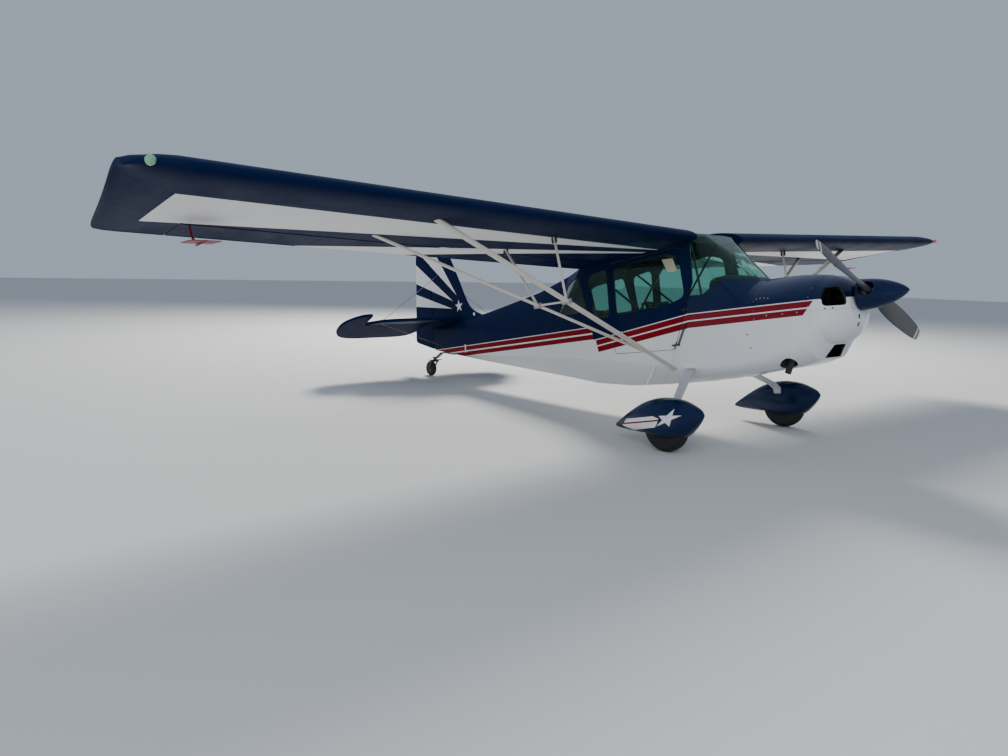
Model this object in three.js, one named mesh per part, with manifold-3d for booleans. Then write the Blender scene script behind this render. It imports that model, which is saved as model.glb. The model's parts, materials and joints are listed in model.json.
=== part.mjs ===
// Light aircraft: a two-seat tandem, high-wing, strut-braced taildragger with one engine.
// Fabric-covered fuselage and wings, leaf-spring main legs with wheel pants, a steerable
// tailwheel, flaps, and ailerons that carry red balance spades.
// Millimetres, +X forward, +Y port, +Z up. The airframe is drawn level, with its origin on
// the ground midway between the main tyre contacts, and then pitched nose up to rest on
// three wheels.
import * as THREE from 'three';
import { mergeVertices } from 'three/addons/utils/BufferGeometryUtils.js';
import Module from 'manifold-3d';

const wasm = await Module();
wasm.setup();

// Driving dimensions
const deg = Math.PI / 180;
const semiSpan = 5220;
const chord = 1515;
const wingLeX = 57;
const wingLeZ = 1898;
const dihedral = 2.2 * deg;
const incidence = 3.6 * deg;
const noseX = 1742;
const tailX = -5205;
const tread = 1960;
const wheelbase = 4970;
const parkAngle = 8.8 * deg;
const mainTyreR = 222;
const mainTyreW = 160;
const tailTyreR = 105;
const tailTyreW = 62;
const propR = 940;
const thrustZ = 1224;
const propAngle = -23.5 * deg;
const cabinHalf = 372;
const wall = 22;
const seat = 0.3;
const clear = 6;
const pinGap = 0.4;
const elevatorDroop = 22 * deg;

// Materials
const paint = (color, roughness = 0.25, metalness = 0) =>
  new THREE.MeshStandardMaterial({ color, roughness, metalness });
const navy = paint(0x10203f);
const white = paint(0xe9e9ea);
const red = paint(0x7d1420);
const grey = paint(0xb9bcc0, 0.4, 0.3);
const offWhite = paint(0xd9d5cc, 0.4);
const black = paint(0x1a1a1c, 0.7);
const steel = paint(0x8b8e92, 0.35, 0.9);
const rubber = paint(0x1c1c1d, 0.9);
const leather = paint(0x5a141c, 0.7);
const bladeGrey = paint(0x55585c, 0.45, 0.4);
const glass = new THREE.MeshStandardMaterial({
  color: 0x9fc7b4, roughness: 0.05, metalness: 0, transparent: true, opacity: 0.35,
});

// Solids: three.js geometry in, booleans in manifold-3d, three.js geometry out
function solidOf(geometry) {
  const plain = geometry.index ? geometry.toNonIndexed() : geometry.clone();
  plain.deleteAttribute('normal');
  plain.deleteAttribute('uv');
  const merged = mergeVertices(plain, 1e-3);
  return new wasm.Manifold(new wasm.Mesh({
    numProp: 3,
    vertProperties: new Float32Array(merged.attributes.position.array),
    triVerts: new Uint32Array(merged.index.array),
  }));
}

function geometryOf(solid) {
  const mesh = solid.getMesh();
  const geometry = new THREE.BufferGeometry();
  geometry.setAttribute('position', new THREE.BufferAttribute(new Float32Array(mesh.vertProperties), 3));
  geometry.setIndex(new THREE.BufferAttribute(new Uint32Array(mesh.triVerts), 1));
  geometry.computeVertexNormals();
  return geometry;
}

function unite(...solids) {
  return solids.reduce((a, b) => a.add(b));
}

function placed(geometry, x = 0, y = 0, z = 0, rx = 0, ry = 0, rz = 0) {
  const turn = new THREE.Euler(rx, ry, rz);
  const matrix = new THREE.Matrix4().makeRotationFromEuler(turn);
  matrix.setPosition(x, y, z);
  return solidOf(geometry.clone().applyMatrix4(matrix));
}

// A mirrored copy of a solid on the other side of the centre plane
function mirrored(solid) {
  const source = solid.getMesh();
  const vertices = Float32Array.from(source.vertProperties);
  for (let i = 1; i < vertices.length; i += 3) vertices[i] = -vertices[i];
  const triangles = Uint32Array.from(source.triVerts);
  for (let i = 0; i < triangles.length; i += 3) {
    const kept = triangles[i];
    triangles[i] = triangles[i + 1];
    triangles[i + 1] = kept;
  }
  return new wasm.Manifold(new wasm.Mesh({ numProp: 3, vertProperties: vertices, triVerts: triangles }));
}

// A skin through rings of equal length, with flat fans at both ends
function loftGeometry(rings) {
  const count = rings[0].length;
  const positions = rings.flat().flatMap((p) => [p.x, p.y, p.z]);
  const index = [];
  for (let s = 0; s + 1 < rings.length; s += 1) {
    for (let i = 0; i < count; i += 1) {
      const j = (i + 1) % count;
      const a = s * count + i;
      const b = s * count + j;
      index.push(a, b, b + count, a, b + count, a + count);
    }
  }
  const cap = (base, ring, flip) => {
    const centre = ring.reduce((sum, p) => sum.add(p), new THREE.Vector3()).divideScalar(count);
    const hub = positions.length / 3;
    positions.push(centre.x, centre.y, centre.z);
    for (let i = 0; i < count; i += 1) {
      const j = (i + 1) % count;
      if (flip) index.push(hub, base + j, base + i);
      else index.push(hub, base + i, base + j);
    }
  };
  cap(0, rings[0], true);
  cap((rings.length - 1) * count, rings[rings.length - 1], false);
  const geometry = new THREE.BufferGeometry();
  geometry.setAttribute('position', new THREE.Float32BufferAttribute(positions, 3));
  geometry.setIndex(index);
  return geometry;
}

// A loft whose faces are turned outward whatever way its rings run
function loft(rings) {
  const geometry = loftGeometry(rings);
  const p = geometry.attributes.position;
  const index = geometry.index.array;
  const corners = [new THREE.Vector3(), new THREE.Vector3(), new THREE.Vector3()];
  let volume = 0;
  for (let i = 0; i < index.length; i += 3) {
    corners.forEach((c, k) => c.fromBufferAttribute(p, index[i + k]));
    volume += corners[0].dot(corners[1].clone().cross(corners[2]));
  }
  if (volume < 0) {
    for (let i = 0; i < index.length; i += 3) {
      const kept = index[i];
      index[i] = index[i + 1];
      index[i + 1] = kept;
    }
  }
  return solidOf(geometry);
}

function box(x0, x1, y0, y1, z0, z1) {
  const geometry = new THREE.BoxGeometry(x1 - x0, y1 - y0, z1 - z0);
  return placed(geometry, (x0 + x1) / 2, (y0 + y1) / 2, (z0 + z1) / 2);
}

// A round bar from one point to another
function rod(a, b, radius, sides = 12, radiusEnd = radius) {
  const from = new THREE.Vector3(...a);
  const to = new THREE.Vector3(...b);
  const along = to.clone().sub(from);
  const geometry = new THREE.CylinderGeometry(radiusEnd, radius, along.length(), sides);
  const upright = new THREE.Vector3(0, 1, 0);
  const turn = new THREE.Quaternion().setFromUnitVectors(upright, along.clone().normalize());
  geometry.applyQuaternion(turn);
  const middle = from.add(to).multiplyScalar(0.5);
  geometry.translate(middle.x, middle.y, middle.z);
  return solidOf(geometry);
}

// A flat plate drawn in the side plane and extruded across the aircraft
function sidePlate(points, y0, y1) {
  const shape = new THREE.Shape(points.map(([x, z]) => new THREE.Vector2(x, z)));
  const geometry = new THREE.ExtrudeGeometry(shape, { depth: y1 - y0, bevelEnabled: false });
  return placed(geometry, 0, y1, 0, Math.PI / 2);
}

// A side plate with its corners rounded
function roundedSidePlate(points, radius, y0, y1) {
  const corners = points.map(([x, z]) => new THREE.Vector2(x, z));
  const shape = new THREE.Shape();
  corners.forEach((corner, i) => {
    const before = corners[(i + corners.length - 1) % corners.length];
    const after = corners[(i + 1) % corners.length];
    const toBefore = before.clone().sub(corner);
    const toAfter = after.clone().sub(corner);
    const start = corner.clone().add(toBefore.clone().setLength(Math.min(radius, toBefore.length() * 0.45)));
    const end = corner.clone().add(toAfter.clone().setLength(Math.min(radius, toAfter.length() * 0.45)));
    if (i === 0) shape.moveTo(start.x, start.y);
    else shape.lineTo(start.x, start.y);
    shape.quadraticCurveTo(corner.x, corner.y, end.x, end.y);
  });
  shape.closePath();
  const options = { depth: y1 - y0, bevelEnabled: false, curveSegments: 4 };
  const geometry = new THREE.ExtrudeGeometry(shape, options);
  return placed(geometry, 0, y1, 0, Math.PI / 2);
}

// A body of revolution about the propeller shaft, from radius and station
function turned(profile, segments) {
  const points = profile.map(([r, a]) => new THREE.Vector2(r, a));
  const geometry = new THREE.LatheGeometry(points, segments);
  geometry.rotateZ(-Math.PI / 2).translate(0, 0, thrustZ);
  return loftFix(geometry);
}

// Lathe geometry turned outward
function loftFix(geometry) {
  const solid = solidOf(geometry);
  if (solid.volume() > 0) return solid;
  const index = geometry.index.array;
  for (let i = 0; i < index.length; i += 3) {
    const kept = index[i];
    index[i] = index[i + 1];
    index[i + 1] = kept;
  }
  return solidOf(geometry);
}

// Fuselage sections: station, half width, top, bottom, the width and height of the rounding
// at the top and bottom corners, and how far each rounding is drawn in to a straight facet
const sectionOf = ([x, half, top, low, topW, topH, lowW, lowH, topFlat, lowFlat]) =>
  ({ x, half, top, low, topW, topH, lowW, lowH, topFlat, lowFlat });
const bodyStations = [
  [575, 392, 1452, 628, 330, 215, 200, 130, 0.6, 0],
  [300, 383, 1462, 585, 300, 170, 190, 130, 0.6, 0],
  [0, cabinHalf, 1470, 560, 250, 120, 180, 140, 0, 0],
  [-300, cabinHalf, 1960, 548, 60, 60, 180, 150, 0, 0],
  [-900, cabinHalf, 1970, 540, 60, 60, 180, 155, 0, 0],
  [-1460, cabinHalf, 1868, 578, 110, 60, 180, 125, 0, 0],
  [-1960, 300, 1806, 655, 270, 550, 150, 140, 0.45, 0.4],
  [-2480, 250, 1676, 736, 222, 428, 150, 184, 0.45, 0.6],
  [-3200, 190, 1573, 856, 165, 320, 110, 109, 0.45, 0.6],
  [-3500, 165, 1530, 905, 130, 175, 90, 80, 0.45, 0.6],
  [-4700, 48, 1440, 1112, 40, 40, 30, 30, 0.2, 0.4],
].map(sectionOf);

const arcSteps = 5;

function bodyRing({ x, half, top, low, topW, topH, lowW, lowH, topFlat, lowFlat }, inset = 0) {
  const points = [];
  const w = half - inset;
  const zt = top - inset;
  const zb = low + inset;
  const corners = [
    { cy: w - topW, cz: zt - topH, a: topW, b: topH, from: 90, flat: topFlat },
    { cy: w - lowW, cz: zb + lowH, a: lowW, b: lowH, from: 0, flat: lowFlat },
    { cy: -(w - lowW), cz: zb + lowH, a: lowW, b: lowH, from: -90, flat: lowFlat },
    { cy: -(w - topW), cz: zt - topH, a: topW, b: topH, from: 180, flat: topFlat },
  ];
  for (const { cy, cz, a, b, from, flat } of corners) {
    const onArc = (share) => {
      const t = (from - 90 * share) * deg;
      return new THREE.Vector3(x, cy + a * Math.cos(t), cz + b * Math.sin(t));
    };
    for (let i = 0; i <= arcSteps; i += 1) {
      const share = i / arcSteps;
      points.push(onArc(share).lerp(onArc(0).lerp(onArc(1), share), flat));
    }
  }
  return points;
}

const stationAt = (x) => {
  const after = bodyStations.findIndex((s) => s.x <= x);
  if (after <= 0) return { ...bodyStations[0], x };
  const a = bodyStations[after - 1];
  const b = bodyStations[after];
  const t = (a.x - x) / (a.x - b.x);
  const mixed = { x };
  for (const key of Object.keys(a)) {
    if (key !== 'x') mixed[key] = a[key] + (b[key] - a[key]) * t;
  }
  return mixed;
};

// The cabin's own stations also carry the slope of the windshield
const cabinRearX = -1960;
const firewallX = 575;
const wsFootX = 500;
const wsHeadX = 30;
const cabinStations = [
  bodyStations[0],
  { ...stationAt(wsFootX), x: wsFootX },
  sectionOf([260, 381, 1712, 582, 290, 260, 190, 130, 0.3, 0]),
  sectionOf([wsHeadX, cabinHalf, 1935, 562, 180, 190, 180, 140, 0, 0]),
  sectionOf([-110, cabinHalf, 1978, 556, 70, 70, 180, 145, 0, 0]),
  sectionOf([-560, cabinHalf, 1996, 543, 50, 50, 180, 152, 0, 0]),
  sectionOf([-1000, cabinHalf, 1946, 541, 50, 50, 180, 152, 0, 0]),
  bodyStations[5],
  bodyStations[6],
];

function cabinSkin(inset) {
  const rings = cabinStations.map((s) => bodyRing(s, inset));
  return loft(rings);
}

const cabinOuter = cabinSkin(0);
const glassOuter = cabinSkin(6);
const glassInner = cabinSkin(10);
const cabinInner = cabinSkin(wall).intersect(box(cabinRearX + 12, firewallX - 8, -500, 500, 500, 2100));

// Openings seen from the side, as corner points of x and z
const doorFrontTop = [-62, 1790];
const doorSill = 880;
const doorFrontLow = [-280, doorSill];
const doorAftX = -1040;
const doorOutline = [
  doorFrontTop, [-96, 1330], doorFrontLow, [doorAftX, doorSill], [doorAftX, 1815], [-180, 1850],
];
const doorWindow = [[-130, 1380], [-170, 1755], [-330, 1805], [-985, 1752], [-985, 1275], [-300, 1325]];
const rearWindow = [[-1085, 1262], [-1085, 1762], [-1335, 1728], [-1345, 1640], [-1290, 1262]];
const quarterWindow = [[-1385, 1350], [-1490, 1735], [-1820, 1665], [-1925, 1545], [-1930, 1345]];
const skylightFrom = -330;
const skylightTo = -1000;

function windowTool(outline, radius, side, grow = 0) {
  const share = 1 / outline.length;
  const middle = outline.reduce((sum, [x, z]) => [sum[0] + x * share, sum[1] + z * share], [0, 0]);
  const points = outline.map(([x, z]) => {
    const dx = x - middle[0];
    const dz = z - middle[1];
    const length = Math.hypot(dx, dz);
    return [x + (dx / length) * grow, z + (dz / length) * grow];
  });
  return side > 0
    ? roundedSidePlate(points, radius, 150, 480)
    : roundedSidePlate(points, radius, -480, -150);
}

// The windshield opening wraps across the whole front of the cabin
const windshieldTool = (grow) => sidePlate([
  [wsFootX - grow * 0.3, 1485 - grow], [1200, 1485 - grow], [1200, 2100], [-32 - grow, 2100],
  [-32 - grow, 1500], [-84 - grow, 1380 - grow], [70, 1372 - grow], [250, 1470 - grow],
], -480, 480);

const skylightTool = (grow) =>
  box(skylightTo - grow, skylightFrom + grow, -250 - grow, 250 + grow, 1800, 2100);

const cabinHollow = cabinOuter.subtract(cabinInner);
const doorCut = roundedSidePlate(doorOutline, 45, -480, -300);
const doorBody = roundedSidePlate(doorOutline.map(([x, z]) => {
  const dx = x - (-560);
  const dz = z - 1290;
  return [x - Math.sign(dx) * 5, z - Math.sign(dz) * 5];
}), 42, -480, -300);

// Boot cowl and cabin meet on the slanted line of the door's front edge
const seamPlane = (shift) => sidePlate([
  [-20 + shift, 2200], [-20 + shift, 1420], [-90 + shift, 1350], [-336 + shift, 740], [-350 + shift, 400],
  [2000, 400], [2000, 2200],
], -600, 600);

let cabinShell = cabinHollow.subtract(windshieldTool(0)).subtract(skylightTool(0));
for (const [outline, radius] of [[rearWindow, 60], [quarterWindow, 50]]) {
  for (const side of [-1, 1]) cabinShell = cabinShell.subtract(windowTool(outline, radius, side));
}
cabinShell = cabinShell.subtract(windowTool(doorWindow, 60, 1));
const doorPanel = cabinHollow.intersect(doorBody).subtract(windowTool(doorWindow, 60, -1));
cabinShell = cabinShell.subtract(doorCut);
const bootCowlSolid = cabinShell.intersect(seamPlane(seat));
cabinShell = cabinShell.subtract(seamPlane(0));

// Door hinges: two straps whose barrels lie on one slanted line outside the skin
const doorHingeY = -(cabinHalf + 9);
const hingeLineX = (z) => -96 - 0.4085 * (1330 - z);
const doorHinges = [1280, 960].map((z) => {
  const at = (rise) => [hingeLineX(z + rise) - 2, doorHingeY, z + rise];
  const leaf = (from, to, inner = cabinHalf - 3) => sidePlate([
    [hingeLineX(z - 22) - 2 + from, z - 22], [hingeLineX(z - 22) - 2 + to, z - 22],
    [hingeLineX(z + 22) - 2 + to, z + 22], [hingeLineX(z + 22) - 2 + from, z + 22],
  ], -(cabinHalf + 4), -inner);
  const pin = rod(at(-60), at(60), 5 + pinGap, 14);
  return {
    door: unite(rod(at(-14), at(14), 9, 14), unite(leaf(-60, -9), leaf(-60, 2, cabinHalf + 0.6))
      .intersect(box(-2000, 2000, -500, 0, z - 10, z + 10))).subtract(pin),
    body: unite(
      rod(at(-26), at(-14.5), 9, 14), rod(at(14.5), at(26), 9, 14), rod(at(-26), at(26), 5, 14),
      leaf(7, 60).intersect(box(-2000, 2000, -500, 0, z - 26, z - 17)),
      leaf(7, 60).intersect(box(-2000, 2000, -500, 0, z + 17, z + 26)),
    ),
  };
});

const paneShell = glassOuter.subtract(glassInner);
const pane = (tool) => paneShell.intersect(tool);

// Wing section: a four-digit cambered aerofoil, 12 % thick
const camber = 0.04;
const camberAt = 0.4;
const thickness = 0.12;

function halfThickness(u) {
  const root = 0.2969 * Math.sqrt(u);
  return 5 * thickness * (root - 0.126 * u - 0.3516 * u * u + 0.2843 * u ** 3 - 0.1036 * u ** 4);
}

function camberLine(u) {
  if (u < camberAt) return (camber / camberAt ** 2) * (2 * camberAt * u - u * u);
  return (camber / (1 - camberAt) ** 2) * (1 - 2 * camberAt + 2 * camberAt * u - u * u);
}

const foilSteps = 11;

// Ring of a wing section at a span station, from trailing edge over the top and back below
function wingRing(y, le, te, thick, lift = 0) {
  const ring = [];
  const sections = [];
  for (let i = 0; i <= foilSteps; i += 1) {
    const u = 0.5 * (1 + Math.cos((Math.PI * i) / foilSteps));
    sections.push([u, camberLine(u) + thick * halfThickness(u) + (i === 0 ? 0.0022 : 0)]);
  }
  for (let i = 1; i <= foilSteps; i += 1) {
    const u = 0.5 * (1 - Math.cos((Math.PI * i) / foilSteps));
    sections.push([u, camberLine(u) - thick * halfThickness(u) - (i === foilSteps ? 0.0022 : 0)]);
  }
  for (const [u, v] of sections) {
    const back = u * (le - te);
    const z = wingLeZ + Math.tan(dihedral) * y - back * Math.sin(incidence) + v * chord + lift;
    ring.push(new THREE.Vector3(le - back * Math.cos(incidence), y, z));
  }
  return ring;
}

const wingRootY = cabinHalf + seat;
const wingTe = wingLeX - chord;

// Span stations of the wing: place, leading edge, trailing edge, share of full thickness
const wingStations = [
  [wingRootY, wingLeX, wingTe, 1],
  [4940, wingLeX, wingTe, 1],
  [5050, wingLeX - 3, wingTe + 18, 0.86],
  [5120, wingLeX - 20, wingTe + 105, 0.68],
  [5175, wingLeX - 62, wingTe + 560, 0.45],
  [semiSpan, wingLeX - 170, wingTe + 960, 0.2],
];

const wingSkin = loft(wingStations.map(([y, le, te, thick]) => wingRing(y, le, te, thick)));

// Control surface hinge line, as a share of the chord
const hingeShare = 0.77;
const hingeX = wingLeX - chord * hingeShare * Math.cos(incidence);
const hingeZ = (y) => wingLeZ + Math.tan(dihedral) * y
  - chord * hingeShare * Math.sin(incidence) + camberLine(hingeShare) * chord;
const surfaceNoseR = halfThickness(hingeShare) * chord - 4;
const flapIn = 430;
const flapOut = 2435;
const aileronIn = 2450;
const aileronOut = 4620;

// A bar along the hinge line, from its outline of x and z about that line
function alongHinge(outline, yIn, yOut) {
  const ringAt = (y) => outline.map(([x, z]) => new THREE.Vector3(hingeX + x, y, hingeZ(y) + z));
  return loft([ringAt(yIn), ringAt(yOut)]);
}

// The space aft of the hinge line between two span stations, with a round nose
function surfaceTool(yIn, yOut, noseR) {
  const behind = box(-2200, hingeX, yIn, yOut, 1500, 2600);
  const nose = rod([hingeX, yIn, hingeZ(yIn)], [hingeX, yOut, hingeZ(yOut)], noseR, 28)
    .intersect(box(-2200, 500, yIn + 0.01, yOut - 0.01, 1500, 2600));
  return behind.add(nose);
}

// Hinge brackets of the wing, which cradle the round nose of each control surface
const hingeStations = [620, 1500, 2330, 2560, 3560, 4500];
const hingeLugs = hingeStations.map((y) => {
  const ends = (reach) => [[hingeX, y - reach, hingeZ(y - reach)], [hingeX, y + reach, hingeZ(y + reach)]];
  return rod(...ends(8), surfaceNoseR + clear + 5, 28)
    .subtract(rod(...ends(20), surfaceNoseR + pinGap, 28))
    .intersect(box(hingeX + 0.75 * surfaceNoseR, hingeX + 200, y - 30, y + 30, 1500, 2600));
});
const slotLength = 30;
const lowerSlot = alongHinge(
  [[-1, -120], [slotLength, -120], [slotLength, -25], [-1, -25]], flapIn - clear, aileronOut + clear,
);
const wingCut = surfaceTool(flapIn - clear, aileronOut + clear, surfaceNoseR + clear).add(lowerSlot);
const wingBody = unite(wingSkin.subtract(wingCut), ...hingeLugs);
const flapBody = wingSkin.intersect(surfaceTool(flapIn, flapOut, surfaceNoseR));
const aileronBody = wingSkin.intersect(surfaceTool(aileronIn, aileronOut, surfaceNoseR));

// Balance spade: a bent arm from the aileron's nose down and forward to a flat plate
const spadeY = 4550;
const spadePath = [[-20, -34], [-6, -105], [60, -165], [177, -190]]
  .map(([x, z]) => [hingeX + x, spadeY, hingeZ(spadeY) + z]);
const spadeR = 9;
const spadeArm = unite(
  ...spadePath.slice(1).map((end, i) => rod(spadePath[i], end, spadeR, 10)),
  ...spadePath.slice(1, 3).map((knee) => placed(new THREE.SphereGeometry(spadeR + 0.4, 10, 5), ...knee)),
).subtract(wingSkin.translate([0, 0, -seat]).add(wingSkin));
const spadePlate = placed(new THREE.BoxGeometry(205, 210, 5), ...spadePath[3], 0, 4 * deg, 0);
const spadeBody = unite(spadeArm, spadePlate);

// Struts: streamlined bars from the lower longeron to the wing
const strutRootZ = 687;
const frontStrut = { from: [-319, cabinHalf - 42, strutRootZ], to: [-262, 3090, 1965], width: 80, depth: 34 };
const rearStrut = { from: [-560, cabinHalf + 330, 862], to: [-915, 3240, 1960], width: 56, depth: 26 };

// An elliptical bar, its width along the aircraft
function fairedBar({ from, to, width, depth }, trim = 0) {
  const a = new THREE.Vector3(...from);
  const b = new THREE.Vector3(...to);
  const along = b.clone().sub(a).normalize();
  a.addScaledVector(along, trim);
  const side = new THREE.Vector3(1, 0, 0).addScaledVector(along, -along.x).normalize();
  const up = along.clone().cross(side);
  const ring = (centre) => Array.from({ length: 16 }, (_, i) => {
    const t = (i / 16) * 2 * Math.PI;
    return centre.clone()
      .addScaledVector(side, (width / 2) * Math.cos(t))
      .addScaledVector(up, (depth / 2) * Math.sin(t));
  });
  return loft([ring(a), ring(b)]);
}

// Height of the wing's lower skin at a plan position
function wingUnder(x, y) {
  const u = (wingLeX - x) / chord;
  return wingLeZ + Math.tan(dihedral) * y - u * chord * Math.sin(incidence)
    + (camberLine(u) - halfThickness(u)) * chord;
}

const onStrut = (strut, y) => {
  const t = (y - strut.from[1]) / (strut.to[1] - strut.from[1]);
  return strut.from.map((v, i) => v + (strut.to[i] - v) * t);
};

// Rear strut runs from the front strut's foot
const strutJoinY = 700;
rearStrut.from = onStrut(frontStrut, strutJoinY);
const juryY = 1780;
const strutPair = unite(fairedBar(frontStrut), fairedBar(rearStrut));
const strutTrimmed = strutPair.subtract(wingSkinLowered()).subtract(cabinSkin(-seat));

function wingSkinLowered() {
  return loft(wingStations.map(([y, le, te, thick]) => wingRing(y, le + 2, te - 2, thick, -seat)))
    .add(loft(wingStations.map(([y, le, te, thick]) => wingRing(y, le + 2, te - 2, thick, 120))));
}

const juryFoot = [onStrut(frontStrut, juryY), onStrut(rearStrut, juryY + 60)];
const juryHead = [[-343, juryY + 40], [-950, juryY + 60]]
  .map(([x, y]) => [x, y, wingUnder(x, y) - seat]);
const juryBody = unite(
  rod(juryFoot[0], juryHead[0], 11, 8),
  rod(juryFoot[1], juryHead[1], 11, 8),
  rod(juryFoot[0], juryFoot[1], 9, 8),
).subtract(wingSkinLowered());
const strutWithJury = strutTrimmed.add(juryBody);

// Tail
const tailZ = 1520;
const stabThick = 42;
const tailHingeX = -4706;

// A flat surface with round edges, drawn as a plan outline in x and y
function flatSurface(outline, z0, thick, bevel) {
  const shape = new THREE.Shape(outline.map(([x, y]) => new THREE.Vector2(x, y)));
  const geometry = new THREE.ExtrudeGeometry(shape, {
    depth: thick - 2 * bevel, bevelEnabled: true, bevelThickness: bevel, bevelSize: bevel * 0.9,
    bevelOffset: -bevel * 0.9, bevelSegments: 2, curveSegments: 8,
  });
  return placed(geometry, 0, 0, z0 - thick / 2 + bevel);
}

function arcPoints(cx, cy, r, fromDeg, toDeg, steps) {
  return Array.from({ length: steps + 1 }, (_, i) => {
    const t = (fromDeg + ((toDeg - fromDeg) * i) / steps) * deg;
    return [cx + r * Math.cos(t), cy + r * Math.sin(t)];
  });
}

const stabHalf = 1500;
const stabLeRoot = -4060;
const stabLeTip = -4210;
const hornIn = 1150;
const stabHalfOutline = [
  [stabLeRoot, 0], [stabLeRoot - 20, 500], [stabLeTip, hornIn - 130], [stabLeTip - 60, hornIn - 18],
  [tailHingeX + 24, hornIn - 18], [tailHingeX + 24, 0],
];
const stabOutline = [...stabHalfOutline, ...stabHalfOutline.slice(1, -1).reverse().map(([x, y]) => [x, -y])];
const stabSolid = flatSurface(stabOutline, tailZ, stabThick, 12);

const elevatorChord = 420;
const elevatorTe = tailHingeX - elevatorChord;
const elevatorHalfOutline = [
  [tailHingeX - 8, 60], [tailHingeX - 8, hornIn], [tailHingeX + 262, hornIn - 2],
  [tailHingeX + 250, hornIn + 120],
  [tailHingeX + 175, stabHalf - 110], [tailHingeX + 60, stabHalf - 18], [tailHingeX - 70, stabHalf],
  [tailHingeX - 240, stabHalf - 30], [tailHingeX - 360, stabHalf - 130], [elevatorTe, stabHalf - 330],
  [elevatorTe, 330], [tailHingeX - 300, 175], [tailHingeX - 120, 150],
];

const aboutHinge = (solid, angle) => solid
  .translate([-tailHingeX, 0, -tailZ]).rotate([0, angle / deg, 0]).translate([tailHingeX, 0, tailZ]);

function elevatorParts() {
  const half = flatSurface(elevatorHalfOutline, tailZ, 36, 11);
  const tube = rod([tailHingeX, -hornIn - 40, tailZ], [tailHingeX, hornIn + 40, tailZ], 16, 24);
  return unite(half, mirrored(half), tube);
}
const elevatorLevel = elevatorParts();
const elevatorSolid = aboutHinge(elevatorLevel, -elevatorDroop);

// Fin and rudder, drawn in the side plane
const finHalf = 20;
const rudderHingeX = -4748;
const rudderTe = tailX;
const rudderFoot = 1135;
const finTopZ = 2560;
const finOutline = [
  [-3480, 1500], [-3600, 1545], [-3720, 1575], [-3830, 1655], [-3900, 1745], [-4110, 2110], [-4262, 2370],
  [-4330, 2470], [-4430, 2540], [-4540, 2562], [rudderHingeX + 24, 2562],
  [rudderHingeX + 24, 1440], [-4200, 1440],
];
const rudderOutline = [
  [rudderHingeX - 2, rudderFoot + 22], [rudderHingeX - 2, 2568], [rudderHingeX + 24, 2572],
  [rudderHingeX + 40, 2620], [rudderHingeX - 20, 2666], [rudderHingeX - 100, 2684],
  [rudderHingeX - 190, 2650], [rudderHingeX - 270, 2560],
  [rudderHingeX - 320, 2440], [rudderTe + 140, 2300], [rudderTe, 1255], [rudderHingeX - 30, rudderFoot],
];

function bevelledSide(outline, thick, bevel) {
  const shape = new THREE.Shape(outline.map(([x, z]) => new THREE.Vector2(x, z)));
  const geometry = new THREE.ExtrudeGeometry(shape, {
    depth: thick - 2 * bevel, bevelEnabled: true, bevelThickness: bevel, bevelSize: bevel * 0.9,
    bevelOffset: -bevel * 0.9, bevelSegments: 2,
  });
  return placed(geometry, 0, thick / 2 - bevel, 0, Math.PI / 2);
}

const tailConeSkin = loft([
  bodyRing({ ...bodyStations[6], x: cabinRearX - seat }), ...bodyStations.slice(7).map((s) => bodyRing(s)),
]);
const grownCone = loft([
  bodyRing({ ...bodyStations[6], x: cabinRearX + 5 }, -seat),
  ...bodyStations.slice(7).map((s) => bodyRing(s, -seat)),
]);
const stabSlot = box(-4800, -3990, -400, 400, tailZ - stabThick / 2 - seat, tailZ + stabThick / 2 + seat);
const tailCone = tailConeSkin.subtract(stabSlot);
const finSolid = bevelledSide(finOutline, finHalf * 2, 11).subtract(grownCone)
  .subtract(box(-4760, -4000, -60, 60, 1300, tailZ + stabThick / 2 + seat));
const finLugs = [1700, 2120, 2480].map((z) => box(rudderHingeX + 8, rudderHingeX + 40, -8, 8, z - 12, z + 12)
  .subtract(rod([rudderHingeX, 0, z - 30], [rudderHingeX, 0, z + 30], 15 + pinGap, 24)));
const finWithLugs = unite(finSolid, ...finLugs);
const rudderTube = rod([rudderHingeX, 0, rudderFoot + 8], [rudderHingeX, 0, 2560], 15, 24);
const rudderSolid = bevelledSide(rudderOutline, 34, 10).add(rudderTube)
  .subtract(box(rudderHingeX + 22, -4000, -60, 60, 1000, 2566));

// Cowling: a chin that ends below the spinner, and a bowl that narrows to the shaft
const bowlFrontX = 1345;
const cowlStations = [
  [firewallX + seat, 392, 1452, 628, 330, 215, 200, 130],
  [880, 402, 1448, 658, 330, 200, 240, 180],
  [1100, 396, 1425, 718, 320, 200, 260, 230],
  [1185, 384, 1402, 748, 305, 200, 268, 235],
  [1202, 380, 1397, 850, 300, 198, 268, 215],
  [1260, 348, 1372, 900, 280, 185, 255, 200],
  [1310, 288, 1338, 962, 240, 165, 228, 170],
  [bowlFrontX, 205, 1302, 1030, 175, 125, 175, 125],
]
  .map((row) => sectionOf([...row, 0.5 * Math.min(1, (bowlFrontX - row[0]) / 160), 0]));
const cowlWall = 14;
const cowlOuter = loft(cowlStations.map((s) => bodyRing(s)));
const cowlInner = loft([
  { ...cowlStations[0], x: 570 }, ...cowlStations.slice(1, 3),
  ...cowlStations.slice(3).map((s) => ({ ...s, x: s.x - cowlWall })),
].map((s) => bodyRing(s, cowlWall)));
const cowlHollow = cowlOuter.subtract(cowlInner);
const splitZ = 1118;
const bowlX = 1120;
const airIntake = box(1205, 1500, 118, 322, 1150, 1290).add(box(1205, 1500, 322, 348, 1172, 1268));
const lowerIntake = box(1120, 1600, -128, 128, 768, 842);
const shaftHole = rod([1200, 0, thrustZ], [1500, 0, thrustZ], 75, 24);
const exhaustHole = rod([790, -298, 500], [905, -298, 900], 70, 20);
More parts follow.
